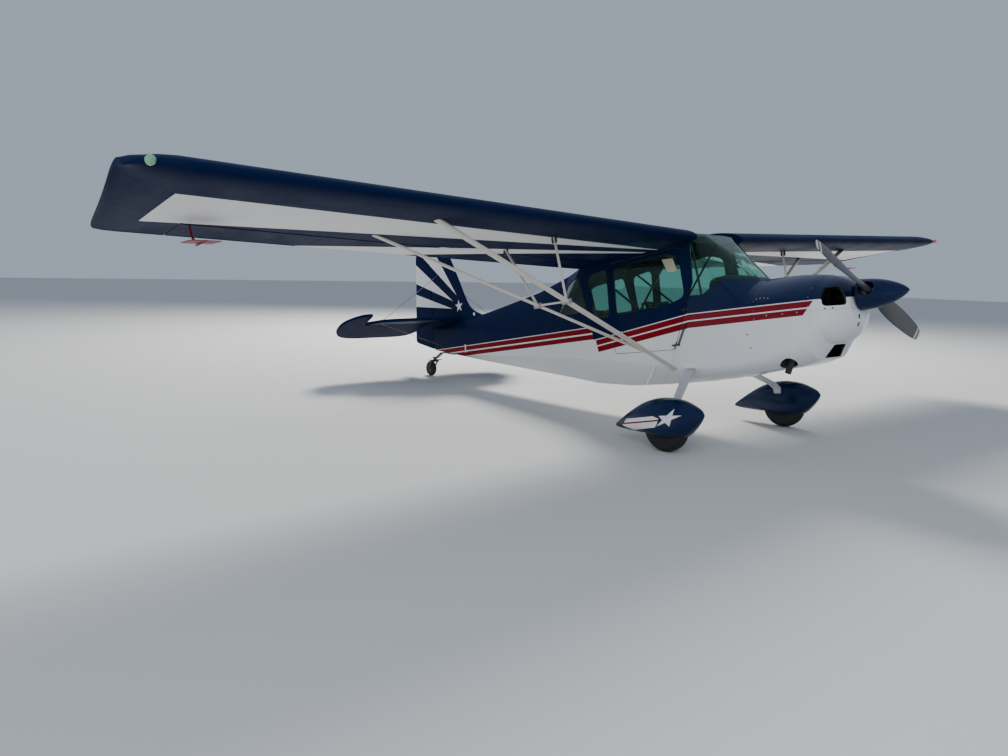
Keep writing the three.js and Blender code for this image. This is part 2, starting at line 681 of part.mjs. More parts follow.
const coolingExit = box(560, 700, -190, 190, 560, 700);
const noseBowl = (lowZ, highZ) => cowlHollow.intersect(box(bowlX, 1600, -600, 600, lowZ, highZ))
  .subtract(airIntake).subtract(mirrored(airIntake)).subtract(lowerIntake).subtract(shaftHole);
const cowlUpper = cowlHollow.intersect(box(500, bowlX - seat, -600, 600, splitZ + seat, 1600));
const cowlLower = cowlHollow.intersect(box(500, bowlX - seat, -600, 600, 400, splitZ))
  .subtract(exhaustHole).subtract(coolingExit);

// Engine: one plain block with its crankshaft, bolted to the firewall
const spinnerBack = 1365;
const hubBack = spinnerBack - 10;
const engineBlock = unite(
  box(640, 1160, -150, 150, 960, 1330),
  box(800, 1100, -295, 295, 1120, 1280),
  rod([1140, 0, thrustZ], [hubBack - pinGap, 0, thrustZ], 60, 20),
  box(firewallX + seat, 660, -110, 110, 1000, 1300),
);
const pipePath = [[1010, -255, 1119.6], [1010, -255, 900], [872, -290, 720], [826, -298, 612]];
const pipeR = 27;
const exhaustPipe = unite(
  ...pipePath.slice(1).map((end, i) => rod(pipePath[i], end, pipeR, 8)),
  ...pipePath.slice(1, 3).map((knee) => placed(new THREE.SphereGeometry(pipeR + 0.4, 8, 4), ...knee)),
);

// Propeller and spinner
const hubX = 1445;
const spinnerR = 130;
const spinnerSides = 20;
const bladeStations = [
  // radius, chord, thickness, twist
  [40, 70, 62, 62], [150, 92, 50, 52], [300, 132, 30, 38], [500, 148, 19, 27], [740, 138, 13, 20],
  [880, 112, 9, 17], [propR, 66, 6, 16],
];

function bladeSolid() {
  return loft(bladeStations.map(([r, c, t, twist]) => Array.from({ length: 14 }, (_, i) => {
    const a = (i / 14) * 2 * Math.PI;
    const u = (c / 2) * Math.cos(a);
    const v = (t / 2) * Math.sin(a);
    const c1 = Math.cos(-twist * deg);
    const s1 = Math.sin(-twist * deg);
    return new THREE.Vector3(hubX + v * c1 + u * s1, r, thrustZ - u * c1 + v * s1);
  })));
}

function aboutShaft(solid, angle) {
  return solid.translate([0, 0, -thrustZ]).rotate([angle / deg, 0, 0]).translate([0, 0, thrustZ]);
}

const blade = bladeSolid();
const propellerSolid = aboutShaft(unite(
  blade, aboutShaft(blade, Math.PI), rod([hubBack, 0, thrustZ], [hubX + 70, 0, thrustZ], 62, 24),
), propAngle);

// Bullet profile of the spinner, from its back plate to its tip
const spinnerProfile = (inset) => {
  const points = [];
  const length = noseX - spinnerBack - inset;
  for (let i = 0; i <= 5; i += 1) {
    const t = i / 5;
    points.push([Math.max((spinnerR - inset) * (1 - t ** 1.9) ** 0.72, 0), spinnerBack + t * length]);
  }
  return points;
};
const spinnerOuter = turned([[0, spinnerBack], ...spinnerProfile(0)], spinnerSides);
const spinnerInner = turned([[0, spinnerBack + 4], ...spinnerProfile(6)], spinnerSides);
const bladeHole = aboutShaft(
  rod([hubX, -300, thrustZ], [hubX, 300, thrustZ], 62, 20), propAngle,
);
const spinnerHollow = spinnerInner.intersect(box(spinnerBack + 4, 2000, -300, 300, 900, 1500));
const spinnerSolid = spinnerOuter.subtract(spinnerHollow)
  .subtract(bladeHole).subtract(rod([1200, 0, thrustZ], [hubX, 0, thrustZ], 63, 24));

// Main gear. The tyre contact is the origin, and the wheel stands upright on the ground, so
// its centre is turned back with the airframe
const wheelX = mainTyreR * Math.sin(parkAngle);
const wheelZ = mainTyreR * Math.cos(parkAngle);
const wheelY = tread / 2;

// A body turned about a wheel's axle, with one facet level with the ground as the airframe parks
function wheelTurned(profile, at, segments) {
  const geometry = new THREE.LatheGeometry(profile.map(([r, a]) => new THREE.Vector2(r, a)), segments);
  geometry.rotateY(parkAngle + Math.PI / segments).translate(...at);
  return loftFix(geometry);
}

// A tyre that stands on its lowest facet
function tyre(radius, width, rimR, at, segments) {
  const h = width / 2;
  const tread = radius / Math.cos(Math.PI / segments);
  const shoulder = radius - (radius - rimR) * 0.16;
  const bulge = radius - (radius - rimR) * 0.5;
  const profile = [
    [rimR, -h * 0.62], [rimR + 14, -h * 0.86], [bulge, -h], [shoulder, -h * 0.8], [tread, -h * 0.38],
    [tread, h * 0.38], [shoulder, h * 0.8], [bulge, h], [rimR + 14, h * 0.86], [rimR, h * 0.62],
    [rimR, -h * 0.62],
  ];
  return wheelTurned(profile, at, segments);
}

const axleR = 20;
const mainRimR = 82;
const mainSides = 28;
const mainTyre = tyre(mainTyreR, mainTyreW, mainRimR, [wheelX, wheelY, wheelZ], mainSides);
const mainHub = wheelTurned([
  [axleR + 0.5, -58], [58, -58], [62, -40], [mainRimR - seat, -40], [mainRimR - seat, 40], [62, 40], [58, 58],
  [axleR + 0.5, 58], [axleR + 0.5, -58],
], [wheelX, wheelY, wheelZ], mainSides);

// Wheel pant: a pointed pod, hollow for the wheel and open below it
const pantFront = 432;
const pantRear = -545;
const pantWall = 8;
const pantStations = [
  // station, half width, top, bottom
  [pantFront, 12, 334, 306], [400, 40, 368, 262], [340, 72, 402, 200], [270, 100, 434, 144],
  [200, 120, 455, 112],
  [110, 131, 470, 98], [30, 134, 474, 100], [-60, 132, 466, 120], [-190, 116, 432, 158], [-340, 80, 362, 178],
  [-470, 38, 290, 198], [pantRear, 10, 244, 218],
];

function pantRing([x, half, top, low], inset) {
  const w = Math.max(half - inset, 3);
  const zt = top - inset;
  const zb = low + inset;
  const zc = (top + low) / 2 - 10;
  return Array.from({ length: 20 }, (_, i) => {
    const t = (i / 20) * 2 * Math.PI;
    const c = Math.cos(t);
    const s = Math.sin(t);
    const shape = (v) => Math.sign(v) * Math.abs(v) ** 0.8;
    const z = s > 0 ? zc + (zt - zc) * shape(s) : zc + (zc - zb) * shape(s);
    return new THREE.Vector3(x, wheelY + w * shape(c), z);
  });
}

const pantOuter = loft(pantStations.map((s) => pantRing(s, 0)));
const pantInner = loft(pantStations.slice(1, -1).map((s) => pantRing(s, pantWall)));
const wheelBay = wheelTurned([
  [0, -96], [165, -92], [205, -75], [230.5, -40], [230.5, 40], [205, 75], [165, 92], [0, 96],
], [wheelX, wheelY, wheelZ], 40);
const belowPant = sidePlate([[300, 0], [300, 112], [-215, 176], [-215, 0]], wheelY - 200, wheelY + 200);

// Leaf-spring leg: a flat bar bent outward and down
const legThick = 24;
const legInY = wheelY - 96 - legThick / 2;

function leafLeg(grow = 0) {
  const sections = [
    // x, y, z, width
    [-124, cabinHalf - 105, 706, 110], [-110, cabinHalf + 40, 668, 102], [30, wheelY - 192, 458, 82],
    [46, wheelY - 136, 408, 80], [wheelX, legInY, 350, 76], [wheelX, legInY, wheelZ - 30 - grow, 74],
  ];
  const rings = sections.map(([x, y, z, width], i) => {
    const before = sections[Math.max(i - 1, 0)];
    const after = sections[Math.min(i + 1, sections.length - 1)];
    const along = new THREE.Vector3(0, after[1] - before[1], after[2] - before[2]).normalize();
    const normal = new THREE.Vector3(0, -along.z, along.y);
    const corner = (sx, sn) => new THREE.Vector3(x + sx * (width / 2 + grow), y, z)
      .addScaledVector(normal, sn * (legThick / 2 + grow));
    return [corner(1, 1), corner(1, -1), corner(-1, -1), corner(-1, 1)];
  });
  return loft(rings);
}

const legSolid = leafLeg().subtract(cabinSkin(-seat));
const pantSolid = pantOuter.subtract(pantInner).subtract(wheelBay).subtract(belowPant)
  .subtract(leafLeg(clear));
const axleSolid = unite(
  rod([wheelX, wheelY - 96 + seat, wheelZ], [wheelX, wheelY + 70, wheelZ], axleR, 20),
  rod([wheelX, wheelY - 96 + seat, wheelZ], [wheelX, wheelY - 88, wheelZ], 60, 24),
  rod([wheelX, wheelY + 60, wheelZ], [wheelX, wheelY + 127, wheelZ], 12, 12),
).subtract(pantSolid.translate([0, -seat, 0])).subtract(pantSolid);

// Tail gear
const tailContactX = -wheelbase * Math.cos(parkAngle);
const tailContactZ = wheelbase * Math.sin(parkAngle);
const upX = Math.sin(parkAngle);
const upZ = Math.cos(parkAngle);
const tailAt = (height, forward = 0) => [
  tailContactX + height * upX + forward * upZ, 0, tailContactZ + height * upZ - forward * upX,
];
const tailWheelAt = tailAt(tailTyreR);
const tailRimR = 52;
const tailSides = 20;
const tailTyre = tyre(tailTyreR, tailTyreW, tailRimR, tailWheelAt, tailSides);
const tailHub = wheelTurned([
  [8.5, -30], [40, -30], [44, -22], [tailRimR - seat, -22], [tailRimR - seat, 22], [44, 22], [40, 30],
  [8.5, 30], [8.5, -30],
], tailWheelAt, tailSides);

const forkSolid = (() => {
  const across = (at, half, radius, sides) => rod([at[0], -half, at[2]], [at[0], half, at[2]], radius, sides);
  const crownAt = tailAt(222, 92);
  const head = rod(tailAt(208, 92), tailAt(262, 92), 26, 18);
  const legs = [-50, 50].map((y) =>
    rod([crownAt[0], y, crownAt[2]], [tailWheelAt[0], y, tailWheelAt[2]], 11, 10));
  const arm = across(tailAt(236, 92), 110, 7, 8);
  return unite(head, across(crownAt, 60, 14, 10), ...legs, across(tailWheelAt, 58, 8, 14), arm);
})();

const springSolid = (() => {
  const sections = [
    [-4300, 1036, 60], [-4480, 1067, 60], [-4600, 1072, 56],
    [tailAt(271.4, 130)[0], tailAt(271.4, 130)[2], 50], [tailAt(271.4, 60)[0], tailAt(271.4, 60)[2], 50],
  ];
  const rings = sections.map(([x, z, width], i) => {
    const before = sections[Math.max(i - 1, 0)];
    const after = sections[Math.min(i + 1, sections.length - 1)];
    const along = new THREE.Vector3(after[0] - before[0], 0, after[1] - before[1]).normalize();
    const normal = new THREE.Vector3(-along.z, 0, along.x);
    const corner = (sy, sn) => new THREE.Vector3(x, (sy * width) / 2, z).addScaledVector(normal, sn * 9);
    return [corner(1, 1), corner(1, -1), corner(-1, -1), corner(-1, 1)];
  });
  return loft(rings).subtract(grownCone);
})();

// Interior
const floorZ = 655;
const floorPanel = box(-1700, 540, -300, 300, floorZ, floorZ + 14);
const seatBase = (x) => unite(
  box(x - 215, x + 215, -200, -170, floorZ + 10, 850), box(x - 215, x + 215, 170, 200, floorZ + 10, 850),
  box(x - 215, x + 215, -200, 200, 836, 850),
);
const floorSolid = unite(floorPanel, seatBase(-430), seatBase(-1250)).intersect(cabinSkin(wall + seat));

// A seat cushion and back, as one plain soft solid
function seatSolid(x, width) {
  const profile = [
    [x + 225, 850 + seat], [x + 225, 930], [x - 120, 935], [x - 300, 1480], [x - 390, 1480], [x - 215, 870],
    [x - 215, 850 + seat],
  ];
  return roundedSidePlate(profile, 16, -width / 2, width / 2);
}

// Instrument panel with a glareshield that stays clear of the skin beside it
const glareshieldZ = 1420;
const panelSolid = unite(
  sidePlate([[215, 1100], [215, 1410], [240, 1410], [240, 1100]], -400, 400)
    .intersect(cabinSkin(wall + seat)),
  sidePlate([[225, 1402], [225, glareshieldZ], [452, glareshieldZ], [452, 1402]], -330, 330)
    .intersect(cabinSkin(wall + 14)),
);

function stick(x) {
  return unite(
    rod([x, 0, 700], [x + 30, 0, 1010], 13, 10),
    rod([x + 28, 0, 1000], [x + 42, 0, 1130], 19, 12),
  );
}
const sticksSolid = unite(
  stick(-40), stick(-860),
  rod([-900, 0, 712], [0, 0, 712], 14, 10),
  box(-60, -20, -40, 40, floorZ + 14 + seat, 730),
  box(-880, -840, -40, 40, floorZ + 14 + seat, 730),
);

// Cabin frame: the tubes that show through the glass
function frameSide(side) {
  const y = side * (cabinHalf - wall - 17);
  const line = (a, b, r = 11) => rod([a[0], y, a[1]], [b[0], y, b[1]], r, 6);
  return unite(
    line([40, 1330], [-45, 1890]),
    line([40, 1330], [-700, 1300]),
    line([-45, 1890], [-1400, 1815]),
    line([-700, 1300], [-1300, 1280]),
    line([-1300, 1280], [-1400, 1815]),
    line([-700, 1300], [-1380, 1830]),
    line([-700, 1300], [-230, 1890]),
  );
}
const cross = (x, z, r = 11) => rod([x, -(cabinHalf - wall - 14), z], [x, cabinHalf - wall - 14, z], r, 8);
const cabinTubes = unite(
  frameSide(1), frameSide(-1), cross(-45, 1890, 13), cross(-1400, 1815),
  rod([-45, 0, 1890], [238, 0, 1600], 9, 8),
).intersect(cabinSkin(wall + seat));

// Small fittings
const stepSolid = unite(
  rod([-524, -(cabinHalf - 22), 776], [-610, -(cabinHalf + 58), 560], 10, 10),
  placed(new THREE.BoxGeometry(100, 56, 8), -614, -(cabinHalf + 62), 558),
).subtract(cabinSkin(-seat));
const navR = 30;
const navX = wingLeX - 12;
const navY = 5125;
const navZ = wingLeZ + Math.tan(dihedral) * navY;
const navLight = placed(new THREE.SphereGeometry(navR, 10, 8), navX, navY, navZ)
  .subtract(wingSkin).subtract(wingSkin.translate([seat, seat, 0]));
const tailLight = rod([rudderTe + 40, 0, 1405], [rudderTe - 6, 0, 1405], 13, 12)
  .subtract(rudderSolid.translate([-seat, 0, 0])).subtract(rudderSolid);

function tailStay() {
  const hub = [-4560, 960, tailZ];
  return unite(
    rod([-4560, 21.5, 2150], [hub[0], hub[1], tailZ + 26], 3.5, 8),
    rod([hub[0], hub[1], tailZ + 34], [hub[0], hub[1], tailZ - 34], 9, 10),
    rod([-4500, 40, 1160], [hub[0], hub[1], tailZ - 26], 3.5, 8),
  ).subtract(grownCone).subtract(box(-5000, -4000, -100, finHalf + seat, 1500, 2700));
}
const stayHole = rod([-4560, 960, tailZ - 60], [-4560, 960, tailZ + 60], 9.4, 10);
const stabLugs = [-1000, -320, 320, 1000].map((y) =>
  box(tailHingeX + 8, tailHingeX + 40, y - 12, y + 12, tailZ - 8, tailZ + 8)
    .subtract(rod([tailHingeX, y - 30, tailZ], [tailHingeX, y + 30, tailZ], 16 + pinGap, 24)));
const stabDrilled = unite(stabSolid.subtract(stayHole).subtract(mirrored(stayHole)), ...stabLugs);

// Scene graph
const group = new THREE.Group();
const airframe = new THREE.Group();
airframe.rotation.y = -parkAngle;
group.add(airframe);

function part(name, solid, material) {
  const mesh = new THREE.Mesh(geometryOf(solid), material);
  mesh.name = name;
  airframe.add(mesh);
  return mesh;
}

function pair(name, solid, material) {
  part(`${name}_left`, solid, material);
  part(`${name}_right`, mirrored(solid), material);
}

part('cabin_shell', cabinShell, navy);
part('boot_cowl', unite(bootCowlSolid, ...doorHinges.map((h) => h.body)), white);
part('tail_cone', tailCone, navy);
part('windshield', pane(windshieldTool(-seat)), glass);
part('skylight', pane(skylightTool(-seat)), glass);
part('window_left_front', pane(windowTool(doorWindow, 60, 1, -seat)), glass);
for (const [side, word] of [[1, 'left'], [-1, 'right']]) {
  part(`window_rear_${word}`, pane(windowTool(rearWindow, 60, side, -seat)), glass);
  part(`window_quarter_${word}`, pane(windowTool(quarterWindow, 50, side, -seat)), glass);
}
part('door', unite(doorPanel, ...doorHinges.map((h) => h.door)), navy);
part('door_window', pane(windowTool(doorWindow, 60, -1, -seat)), glass);
part('floor', floorSolid, black);
part('instrument_panel', panelSolid, black);
part('seat_front', seatSolid(-430, 400), leather);
part('seat_rear', seatSolid(-1250, 420), leather);
part('control_sticks', sticksSolid, black);
part('cabin_frame', cabinTubes, black);
pair('wing', wingBody, navy);
pair('flap', flapBody, white);
pair('aileron', aileronBody, white);
pair('spade', spadeBody, red);
pair('wing_strut', strutWithJury, offWhite);
part('fin', finWithLugs, navy);
part('rudder', rudderSolid, navy);
part('stabilizer', stabDrilled, navy);
part('elevator', elevatorSolid, navy);
pair('tail_stay', tailStay(), steel);
pair('gear_leg', legSolid, grey);
pair('wheel_pant', pantSolid, navy);
pair('axle', axleSolid, steel);
pair('main_tyre', mainTyre, rubber);
pair('main_hub', mainHub, steel);
part('tail_spring', springSolid, steel);
part('tailwheel_fork', forkSolid, steel);
part('tailwheel_tyre', tailTyre, rubber);
part('tailwheel_hub', tailHub, steel);
part('engine_block', engineBlock, steel);
part('exhaust_pipe', exhaustPipe, steel);
part('cowl_upper', cowlUpper, navy);
part('cowl_lower', cowlLower, white);
part('nose_bowl_upper', noseBowl(splitZ + seat, 1600), navy);
part('nose_bowl_lower', noseBowl(400, splitZ), white);
part('propeller', propellerSolid, bladeGrey);
part('spinner', spinnerSolid, navy);
part('boarding_step', stepSolid, offWhite);
pair('nav_light', navLight, glass);
part('tail_light', tailLight, glass);

// The origin lies under the middle of the aircraft's box
airframe.updateMatrixWorld(true);
const extent = new THREE.Box3().setFromObject(group, true);
airframe.position.x = -(extent.min.x + extent.max.x) / 2;

export default group;
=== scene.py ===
import json
import math

import bmesh
import bpy
import numpy as np
from mathutils import Matrix, Vector

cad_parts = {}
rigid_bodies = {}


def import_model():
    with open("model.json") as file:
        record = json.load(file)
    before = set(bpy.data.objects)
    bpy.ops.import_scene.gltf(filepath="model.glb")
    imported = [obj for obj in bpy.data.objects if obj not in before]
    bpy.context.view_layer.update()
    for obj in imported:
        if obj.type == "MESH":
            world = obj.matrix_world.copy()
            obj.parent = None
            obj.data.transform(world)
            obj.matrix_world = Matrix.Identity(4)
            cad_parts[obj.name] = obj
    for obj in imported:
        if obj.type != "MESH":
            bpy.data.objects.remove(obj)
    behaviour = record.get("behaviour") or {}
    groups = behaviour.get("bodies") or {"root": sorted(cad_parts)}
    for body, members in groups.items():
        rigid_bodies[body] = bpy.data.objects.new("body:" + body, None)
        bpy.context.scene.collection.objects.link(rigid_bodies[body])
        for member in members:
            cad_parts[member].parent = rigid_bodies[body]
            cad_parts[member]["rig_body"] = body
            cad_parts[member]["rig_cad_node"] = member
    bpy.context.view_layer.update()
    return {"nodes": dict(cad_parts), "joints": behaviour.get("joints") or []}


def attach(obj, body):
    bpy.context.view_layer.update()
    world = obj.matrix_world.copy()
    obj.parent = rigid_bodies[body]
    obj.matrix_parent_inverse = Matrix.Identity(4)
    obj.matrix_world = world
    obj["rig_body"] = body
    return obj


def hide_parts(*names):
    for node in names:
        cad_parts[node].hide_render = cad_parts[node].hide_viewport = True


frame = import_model()
JOINTS = {j["name"]: j for j in frame["joints"]}

# The airframe is drawn level, in metres about the main wheels' contact, and then pitched to park
PARK = math.radians(8.8)
CONTACT_X = JOINTS["wheel_left_spin"]["pos_m"][0]
TO_ROW = Matrix.Translation((CONTACT_X, 0, 0)) @ Matrix.Rotation(-PARK, 4, "Y")
IN_CABIN = 0.372
WALL = 0.012
CHORD = 1.515
LE_X = 0.057
LE_Z = 1.898
DIHEDRAL = math.tan(math.radians(2.2))
INCIDENCE = math.radians(3.6)
HINGE_SHARE = 0.77
SEMI_SPAN = 5.22
THRUST_Z = 1.224
PROP_ANGLE = math.radians(-23.5)
WHEEL_Y = 0.98
TYRE_R = 0.222
WHEEL = Vector((TYRE_R * math.sin(PARK), WHEEL_Y, TYRE_R * math.cos(PARK)))
TAIL_Z = 1.52
TAIL_HINGE_X = -4.706
RUDDER_HINGE_X = -4.748
DROOP = math.radians(22)
FIREWALL_X = 0.575
SPLIT_Z = 1.118


# shader graphs
class Expr:
    """A number or colour made by a node, joined to others by plain arithmetic."""

    def __init__(self, graph, socket):
        self.graph = graph
        self.socket = socket

    def math(self, op, other=0.0, swap=False):
        first, second = (other, self) if swap else (self, other)
        return self.graph.node("ShaderNodeMath", [first, second], operation=op)

    def __rsub__(self, other):
        return self.math("SUBTRACT", other, swap=True)

    def __invert__(self):
        return 1.0 - self

    def abs(self):
        return self.math("ABSOLUTE")

    def wave(self, length):
        """Distance to the nearest multiple of length."""
        return self.math("PINGPONG", length / 2)

    def ramp(self, start, end):
        """0 at start, 1 at end, smooth between."""
        inputs = {"Value": self, "From Min": start, "From Max": end}
        return self.graph.node("ShaderNodeMapRange", inputs, interpolation_type="SMOOTHSTEP")


def add_operator(name, op):
    setattr(Expr, name, lambda self, other: self.math(op, other))


for row in (("__add__", "ADD"), ("__radd__", "ADD"), ("__sub__", "SUBTRACT"), ("__mul__", "MULTIPLY"),
            ("__rmul__", "MULTIPLY"), ("__truediv__", "DIVIDE"), ("__gt__", "GREATER_THAN"),
            ("__lt__", "LESS_THAN"), ("__or__", "MAXIMUM"), ("__and__", "MULTIPLY"), ("low", "MINIMUM"),
            ("high", "MAXIMUM")):
    add_operator(*row)


class Graph:
    def __init__(self, name):
        self.material = bpy.data.materials.new(name)
        self.material.use_nodes = True
        self.tree = self.material.node_tree
        self.shader = self.tree.nodes["Principled BSDF"]
        self.place = None

    def node(self, kind, inputs, output=0, **settings):
        made = self.tree.nodes.new(kind)
        for key, value in settings.items():
            setattr(made, key, value)
        pairs = inputs.items() if isinstance(inputs, dict) else enumerate(inputs)
        for key, value in pairs:
            if isinstance(value, Expr):
                self.tree.links.new(value.socket, made.inputs[key])
            else:
                made.inputs[key].default_value = value
        return Expr(self, made.outputs[output])

    def level(self):
        """The level airframe's coordinates, fixed to the piece."""
        if self.place is None:
            rest = self.node("ShaderNodeTexCoord", [], "Object")
            turn = Matrix.Rotation(PARK, 3, "Y") @ Vector((-CONTACT_X, 0, 0))
            self.place = self.node("ShaderNodeMapping", {
                "Vector": rest, "Rotation": (0, PARK, 0), "Location": turn,
            })
        return self.place

    def xyz(self):
        split = self.node("ShaderNodeSeparateXYZ", [self.level()])
        return [Expr(self, split.socket.node.outputs[i]) for i in range(3)]

    def noise(self, scale, detail=3.0, stretch=(1, 1, 1)):
        where = self.node("ShaderNodeVectorMath", [self.level(), stretch], operation="MULTIPLY")
        inputs = {"Vector": where, "Scale": scale, "Detail": detail, "Roughness": 0.55}
        return self.node("ShaderNodeTexNoise", inputs, "Fac")

    def cells(self, scale):
        return self.node("ShaderNodeTexVoronoi", {"Vector": self.level(), "Scale": scale}, "Distance")

    def mix(self, share, first, second):
        return self.node("ShaderNodeMix", {0: share, 6: first, 7: second}, 2, data_type="RGBA")

    def finish(self, colour, rough, height=None, depth=0.001, **values):
        links = self.tree.links
        links.new(colour.socket, self.shader.inputs["Base Color"])
        if isinstance(rough, Expr):
            links.new(rough.socket, self.shader.inputs["Roughness"])
        else:
            self.shader.inputs["Roughness"].default_value = rough
        if height is not None:
            bump = self.node("ShaderNodeBump", {"Height": height, "Strength": 1.0, "Distance": depth})
            links.new(bump.socket, self.shader.inputs["Normal"])
        for key, value in values.items():
            self.shader.inputs[key.replace("_", " ")].default_value = value
        return self.material


def rgb(r, g, b):
    return (r, g, b, 1.0)


NAVY = rgb(0.003, 0.010, 0.044)
WHITE = rgb(0.80, 0.80, 0.79)
RED = rgb(0.21, 0.004, 0.011)


def paint(g, white, red, height=None, depth=0.001, fabric=False):
    """Paint in navy, with white and red where the masks say, dust and fine orange peel, and a blue specular
    tint that paints a blue sky's sheen into its reflections.
    """
    colour = g.mix(red, g.mix(white, NAVY, WHITE), RED)
    dust = g.noise(2.3, 6.0).ramp(0.42, 0.75)
    colour = g.mix(dust * 0.008, colour, rgb(0.42, 0.39, 0.34))
    streak = g.noise(30.0, 3.0, (0.15, 1, 1)).ramp(0.55, 0.8)
    colour = g.mix(streak * 0.01, colour, rgb(0.2, 0.18, 0.16))
    rough = (0.45 if fabric else 0.16) + dust * 0.12 + streak * 0.05
    peel = g.noise(260.0, 2.0) * 0.05
    height = peel if height is None else height + peel
    if fabric:
        # The blue specular tint is a painted reflection: it gives the fabric the blue sheen of a sky.
        return g.finish(colour, rough, height, depth, Specular_IOR_Level=0.14, IOR=1.25,
                        Specular_Tint=rgb(0.7, 0.8, 1.0))
    # The blue specular tint is a painted reflection: it gives the paint the blue sheen of a sky.
    return g.finish(colour, rough, height, depth, Specular_IOR_Level=0.34,
                    Specular_Tint=rgb(0.55, 0.72, 1.0), Coat_Weight=0.05, Coat_Roughness=0.05)


def between(value, low, high):
    return (value > low) & (value < high)


def fuselage_masks(x, z):
    """White and red parts of the fuselage: two sets of twin stripes over a white belly."""
    knee = (x + 0.10).low(0.0)
    top = 1.203 + knee * 0.135
    low = 1.077 + (x + 0.10).high(0.0) * 0.0113 + knee * 0.1385
    front = (top - z) / (top - low)
    rear_top = 1.178 + (x + 1.345) * 0.0206
    rear_low = 1.053 + (x + 1.335) * 0.0206
    rear = (rear_top - z) / (rear_top - rear_low)
    in_front = x > (-1.30 + (1.048 - z) * 0.2256)
    in_rear = x < (-1.340 + (1.115 - z) * 0.08)
    before_cap = x < (1.143 - (1.202 - z) * 0.83)
    front_red = (between(front, 0.0, 0.44) | between(front, 0.54, 1.0)) & before_cap
    rear_red = between(rear, 0.0, 0.45) | between(rear, 0.58, 1.0)
    red = (front_red & in_front) | (rear_red & in_rear)
    gap = ~in_front & ~in_rear
    white = (in_front & (front > -0.07)) | (in_rear & (rear > -0.07)) | (gap & (z < 1.05))
    tick = between(x, -3.900, -3.872) & between(z, 1.045, 1.150)
    return white | tick, red & ~tick


def fuselage_paint(name, fabric=False):
    g = Graph(name)
    x, y, z = g.xyz()
    white, red = fuselage_masks(x, z)
    if fabric:
        ridge = (z - (1.178 + (x + 1.345) * 0.02)).abs().ramp(0.02, 0.0)
        chine = (z - (0.83 - (x + 1.2) * 0.065)).abs().ramp(0.012, 0.0)
        spine = y.abs().ramp(0.014, 0.0)
        sag = g.noise(5.0, 2.0, (0.4, 1, 1)) * 0.6
        height = (ridge + chine + spine) * 0.8 + sag + g.noise(900.0, 1.0) * 0.08
    else:
        height = g.noise(7.0, 2.0) * 0.35
    return paint(g, white, red, height, 0.0014, fabric)


def polygon_mask(u, v, points):
    """Inside a convex outline."""
    area = sum(a[0] * b[1] - b[0] * a[1] for a, b in zip(points, points[1:] + points[:1]))
    if area < 0:
        points = points[::-1]
    mask = None
    for (u0, v0), (u1, v1) in zip(points, points[1:] + points[:1]):
        side = (v - v0) * (u1 - u0) - (u - u0) * (v1 - v0)
        inside = side > 0.0
        mask = inside if mask is None else mask & inside
    return mask


def star_mask(u, v, centre, radius, turn, inner=0.4):
    """A five-pointed star, by its angle and distance."""
    du = u - centre[0]
    dv = v - centre[1]
    angle = dv.math("ARCTAN2", du) - turn
    step = 2 * math.pi / 5
    fold = (angle + 20 * math.pi).math("PINGPONG", step / 2)
    reach = (du * du + dv * dv).math("SQRT")
    across = reach * fold.math("COSINE")
    along = reach * fold.math("SINE")
    notch = (radius * inner * math.cos(step / 2), radius * inner * math.sin(step / 2))
    side = (across - radius) * notch[1] - along * (notch[0] - radius)
    return side < 0.0


FIN_RAYS = [
    [(-4.137, 1.836), (-4.754, 2.75), (-5.225, 2.75)],
    [(-4.227, 1.765), (-5.40, 2.622), (-5.40, 2.227)],
    [(-4.251, 1.661), (-5.40, 2.049), (-5.40, 1.811)],
]


def fin_paint(name):
    g = Graph(name)
    x, _, z = g.xyz()
    star = star_mask(x, z, (-4.10, 1.682), 0.088, math.radians(92))
    white = star
    for ray in FIN_RAYS:
        white = white | polygon_mask(x, z, ray)
    rib = (z.wave(0.235)).ramp(0.016, 0.010)
    height = rib * 0.8 + (z.wave(0.235) * 6.0).ramp(0.0, 0.7) * -0.8 + g.noise(900.0, 1.0) * 0.06
    return paint(g, white, 0.0, height, 0.0011, fabric=True)


def tailplane_paint(name):
    g = Graph(name)
    rib = g.xyz()[1].abs().wave(0.24).ramp(0.016, 0.010)
    height = rib * 0.8 + g.noise(900.0, 1.0) * 0.06
    return paint(g, 0.0, 0.0, height, 0.0011, fabric=True)


def wing_paint(name):
    g = Graph(name)
    x, y, _ = g.xyz()
    span = y.abs()
    first = between(x, -0.588 - (span - 1.64) * 0.166, -0.36) & (span < 4.88)
    second = between(x, -0.39 - span * 0.412, -0.38 - span * 0.296)
    white = (first | second) & (span > 0.42)
    bay = span.wave(0.31)
    tape = bay.ramp(0.040, 0.036) * 0.35
    stitch = (bay.ramp(0.006, 0.0)) & (x.wave(0.06).ramp(0.008, 0.004))
    spar = (x + 0.30).abs().ramp(0.032, 0.026) * 0.3 + (x + 0.86).abs().ramp(0.032, 0.026) * 0.3
    drape = (bay / 0.155).math("POWER", 2.0) * -1.6
    inside = between(x, -1.40, -0.12)
    height = (tape + stitch * 0.5 + spar + drape) * inside + g.noise(800.0, 1.0) * 0.06
    return paint(g, white, 0.0, height, 0.0016, fabric=True)


STAR_ON_PANT = (0.147, 0.300)


